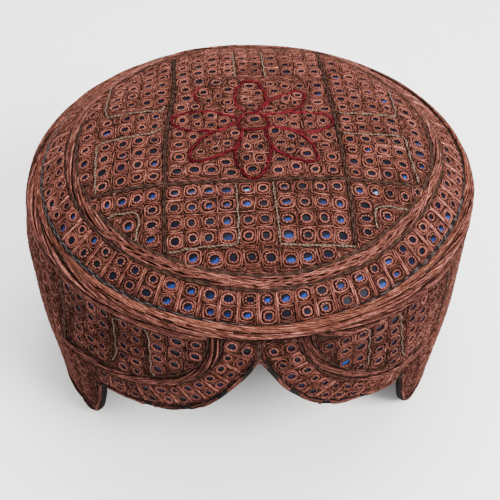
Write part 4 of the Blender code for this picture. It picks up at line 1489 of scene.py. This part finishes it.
def add_wall_top_band():
    """Strands below the edge cord, round the wall from one arch to the other."""
    cord = TOP_CORD
    first, last = cord["start"], 360 - cord["start"]

    def across(run, aside, lift):
        azimuth = first + run / DEGREE
        leftness = np.clip(0.5 + 0.5 * (azimuth - 180) / cord["blend"], 0, 1)
        bottom = cord["right"] + (cord["left"] - cord["right"]) * leftness
        widening = np.clip(np.minimum(azimuth - first, last - azimuth) / cord["widening"], 0, 1)
        bottom = cord["start_bottom"] + (bottom - cord["start_bottom"]) * widening
        half = 0.5 * (bottom - cord["top"])
        return on_wall(azimuth * DEGREE, -(cord["top"] + half * (1 + 0.85 * aside)), lift)

    total = (last - first) * DEGREE
    add_strands("wall_top_strands", "wall_top", across, total, SHADED_WALL_FLOSS, replaced=["wall_top_cord"])


def add_arch_cords():
    for side, knots in ARCH_CORDS.items():
        path = smooth_path(wall_chart(knots), ARCH_SPACING)
        beside = ARCH_CORD_HALF * (moved(path, 1.0) - path)
        runs = np.arange(len(path)) * ARCH_SPACING

        def across(run, aside, lift):
            points = at_run(run, runs, path) + aside[..., None] * at_run(run, runs, beside)
            return put_on(on_wall, points, lift)

        replaced = ["arch_cord_" + side]
        add_strands("arch_strands_" + side, "arch", across, runs[-1], SHADED_WALL_FLOSS, replaced=replaced)


def add_hem(edge):
    """Black cloth folded round the edge, with strands along it between bare patches."""
    rows = []
    for rise, out in HEM_SECTION:
        line = inset(edge, rise)
        rows.append(on_wall(line[:, 0], np.maximum(line[:, 1], -CROWN_HEIGHT), out)[0])
    run = np.arange(len(edge)) * EDGE_SPACING
    uvs = np.stack([joined(run, 1.3 * k) for k in range(len(rows))])
    hem = Stitches()
    hem.skin(np.stack(rows), uvs, closed_rows=True)
    hem.build("hem_fold", BLACK_CLOTH, "black_binding", ["hem_binding"])

    inner = inset(edge, HEM_STRANDS_INSET)
    beside = HEM_STRANDS_HALF * (inset(edge, HEM_STRANDS_INSET + 1) - inner)

    def across(at, aside, lift):
        points = at_run(at, run, inner) + aside[..., None] * at_run(at, run, beside)
        x, y = points[..., 0], np.maximum(points[..., 1], -CROWN_HEIGHT + 0.4)
        bare = np.abs((x / DEGREE)[..., None] - HEM_PATCHES).min(-1) < HEM_PATCH_HALF
        return on_wall(x, y, np.where(bare, lift - 1.0, lift))

    add_strands("hem_strands", "hem", across, run[-1], SHADED_WALL_FLOSS, slot="black_binding")


def add_cap():
    edge = lower_edge(EDGE_SPACING)
    cords = [smooth_path(wall_chart(knots), 1.5) for knots in ARCH_CORDS.values()]
    add_cloths(edge)
    add_crown_embroidery()
    add_border_embroidery()
    add_wall_embroidery(edge, cords)
    add_lines(cords)
    add_edge_cord()
    add_ring_cord()
    add_wall_top_band()
    add_arch_cords()
    add_hem(edge)


# Camera at the photo's angle, soft studio light and a pale floor

def aim(place, forward):
    """A matrix at a place that looks forward, without roll."""
    side = unit(np.cross(forward, [0.0, 0.0, 1.0]))
    top = np.cross(side, forward)
    turn = Matrix([[side[k], top[k], -forward[k]] for k in range(3)]).to_4x4()
    return Matrix.Translation(place) @ turn


def add_camera():
    heading = np.array([math.sin(CAMERA_YAW), math.cos(CAMERA_YAW), 0.0])
    right = np.array([math.cos(CAMERA_YAW), -math.sin(CAMERA_YAW), 0.0])
    up = np.array([0.0, 0.0, 1.0])
    crown = np.array([CROWN_X, 0.0, CROWN_HEIGHT])
    place = crown + CAMERA_REACH * (up * math.sin(CAMERA_PITCH) - heading * math.cos(CAMERA_PITCH))
    pitch = CAMERA_PITCH + math.atan((FRAME_PIXELS / 2 - CENTRE_PIXEL[1]) / FOCAL_PIXELS)
    aside = math.atan((CENTRE_PIXEL[0] - FRAME_PIXELS / 2) / FOCAL_PIXELS)
    level = heading * math.cos(pitch) - up * math.sin(pitch)
    camera = bpy.data.objects.new("camera", bpy.data.cameras.new("camera"))
    camera.data.sensor_width = 36.0
    camera.data.lens = 36.0 * FOCAL_PIXELS / FRAME_PIXELS
    camera.data.clip_start = 0.02
    camera.data.clip_end = 20.0
    camera.matrix_world = aim(place * MM, level * math.cos(aside) - right * math.sin(aside))
    bpy.context.collection.objects.link(camera)
    bpy.context.scene.camera = camera


def add_light(name, place, size, power, colour):
    data = bpy.data.lights.new(name, "AREA")
    data.shape, data.size, data.energy, data.color = "DISK", size, power, colour
    light = bpy.data.objects.new(name, data)
    light.matrix_world = aim(place, unit(np.array([0.0, 0.0, 0.06]) - place))
    bpy.context.collection.objects.link(light)


def add_floor():
    shader = Shader("pale_floor", 0.9)
    grain = shader.noise(shader.coordinates("Object"), 60.0, 3.0)
    shader.colour(shader.mix(grain, (0.92, 0.92, 0.92), (0.95, 0.95, 0.95)))
    shader.bump(grain, 0.0002, 0.1)
    mesh = bpy.data.meshes.new("floor")
    signs = ((-1, -1), (1, -1), (1, 1), (-1, 1))
    corners = [(x * FLOOR_REACH, y * FLOOR_REACH, 0) for x, y in signs]
    mesh.from_pydata(corners, [], [(0, 1, 2, 3)])
    mesh.materials.append(shader.material)
    floor = bpy.data.objects.new("floor", mesh)
    bpy.context.collection.objects.link(floor)


def add_world():
    world = bpy.data.worlds.new("studio")
    world.use_nodes = True
    background = world.node_tree.nodes["Background"]
    background.inputs["Color"].default_value = (1.0, 0.99, 0.98, 1)
    background.inputs["Strength"].default_value = WORLD_STRENGTH
    bpy.context.scene.world = world


add_cap()
add_camera()
for name, place, size, power, colour in LIGHTS:
    add_light(name, place, size, power, colour)
add_floor()
add_world()
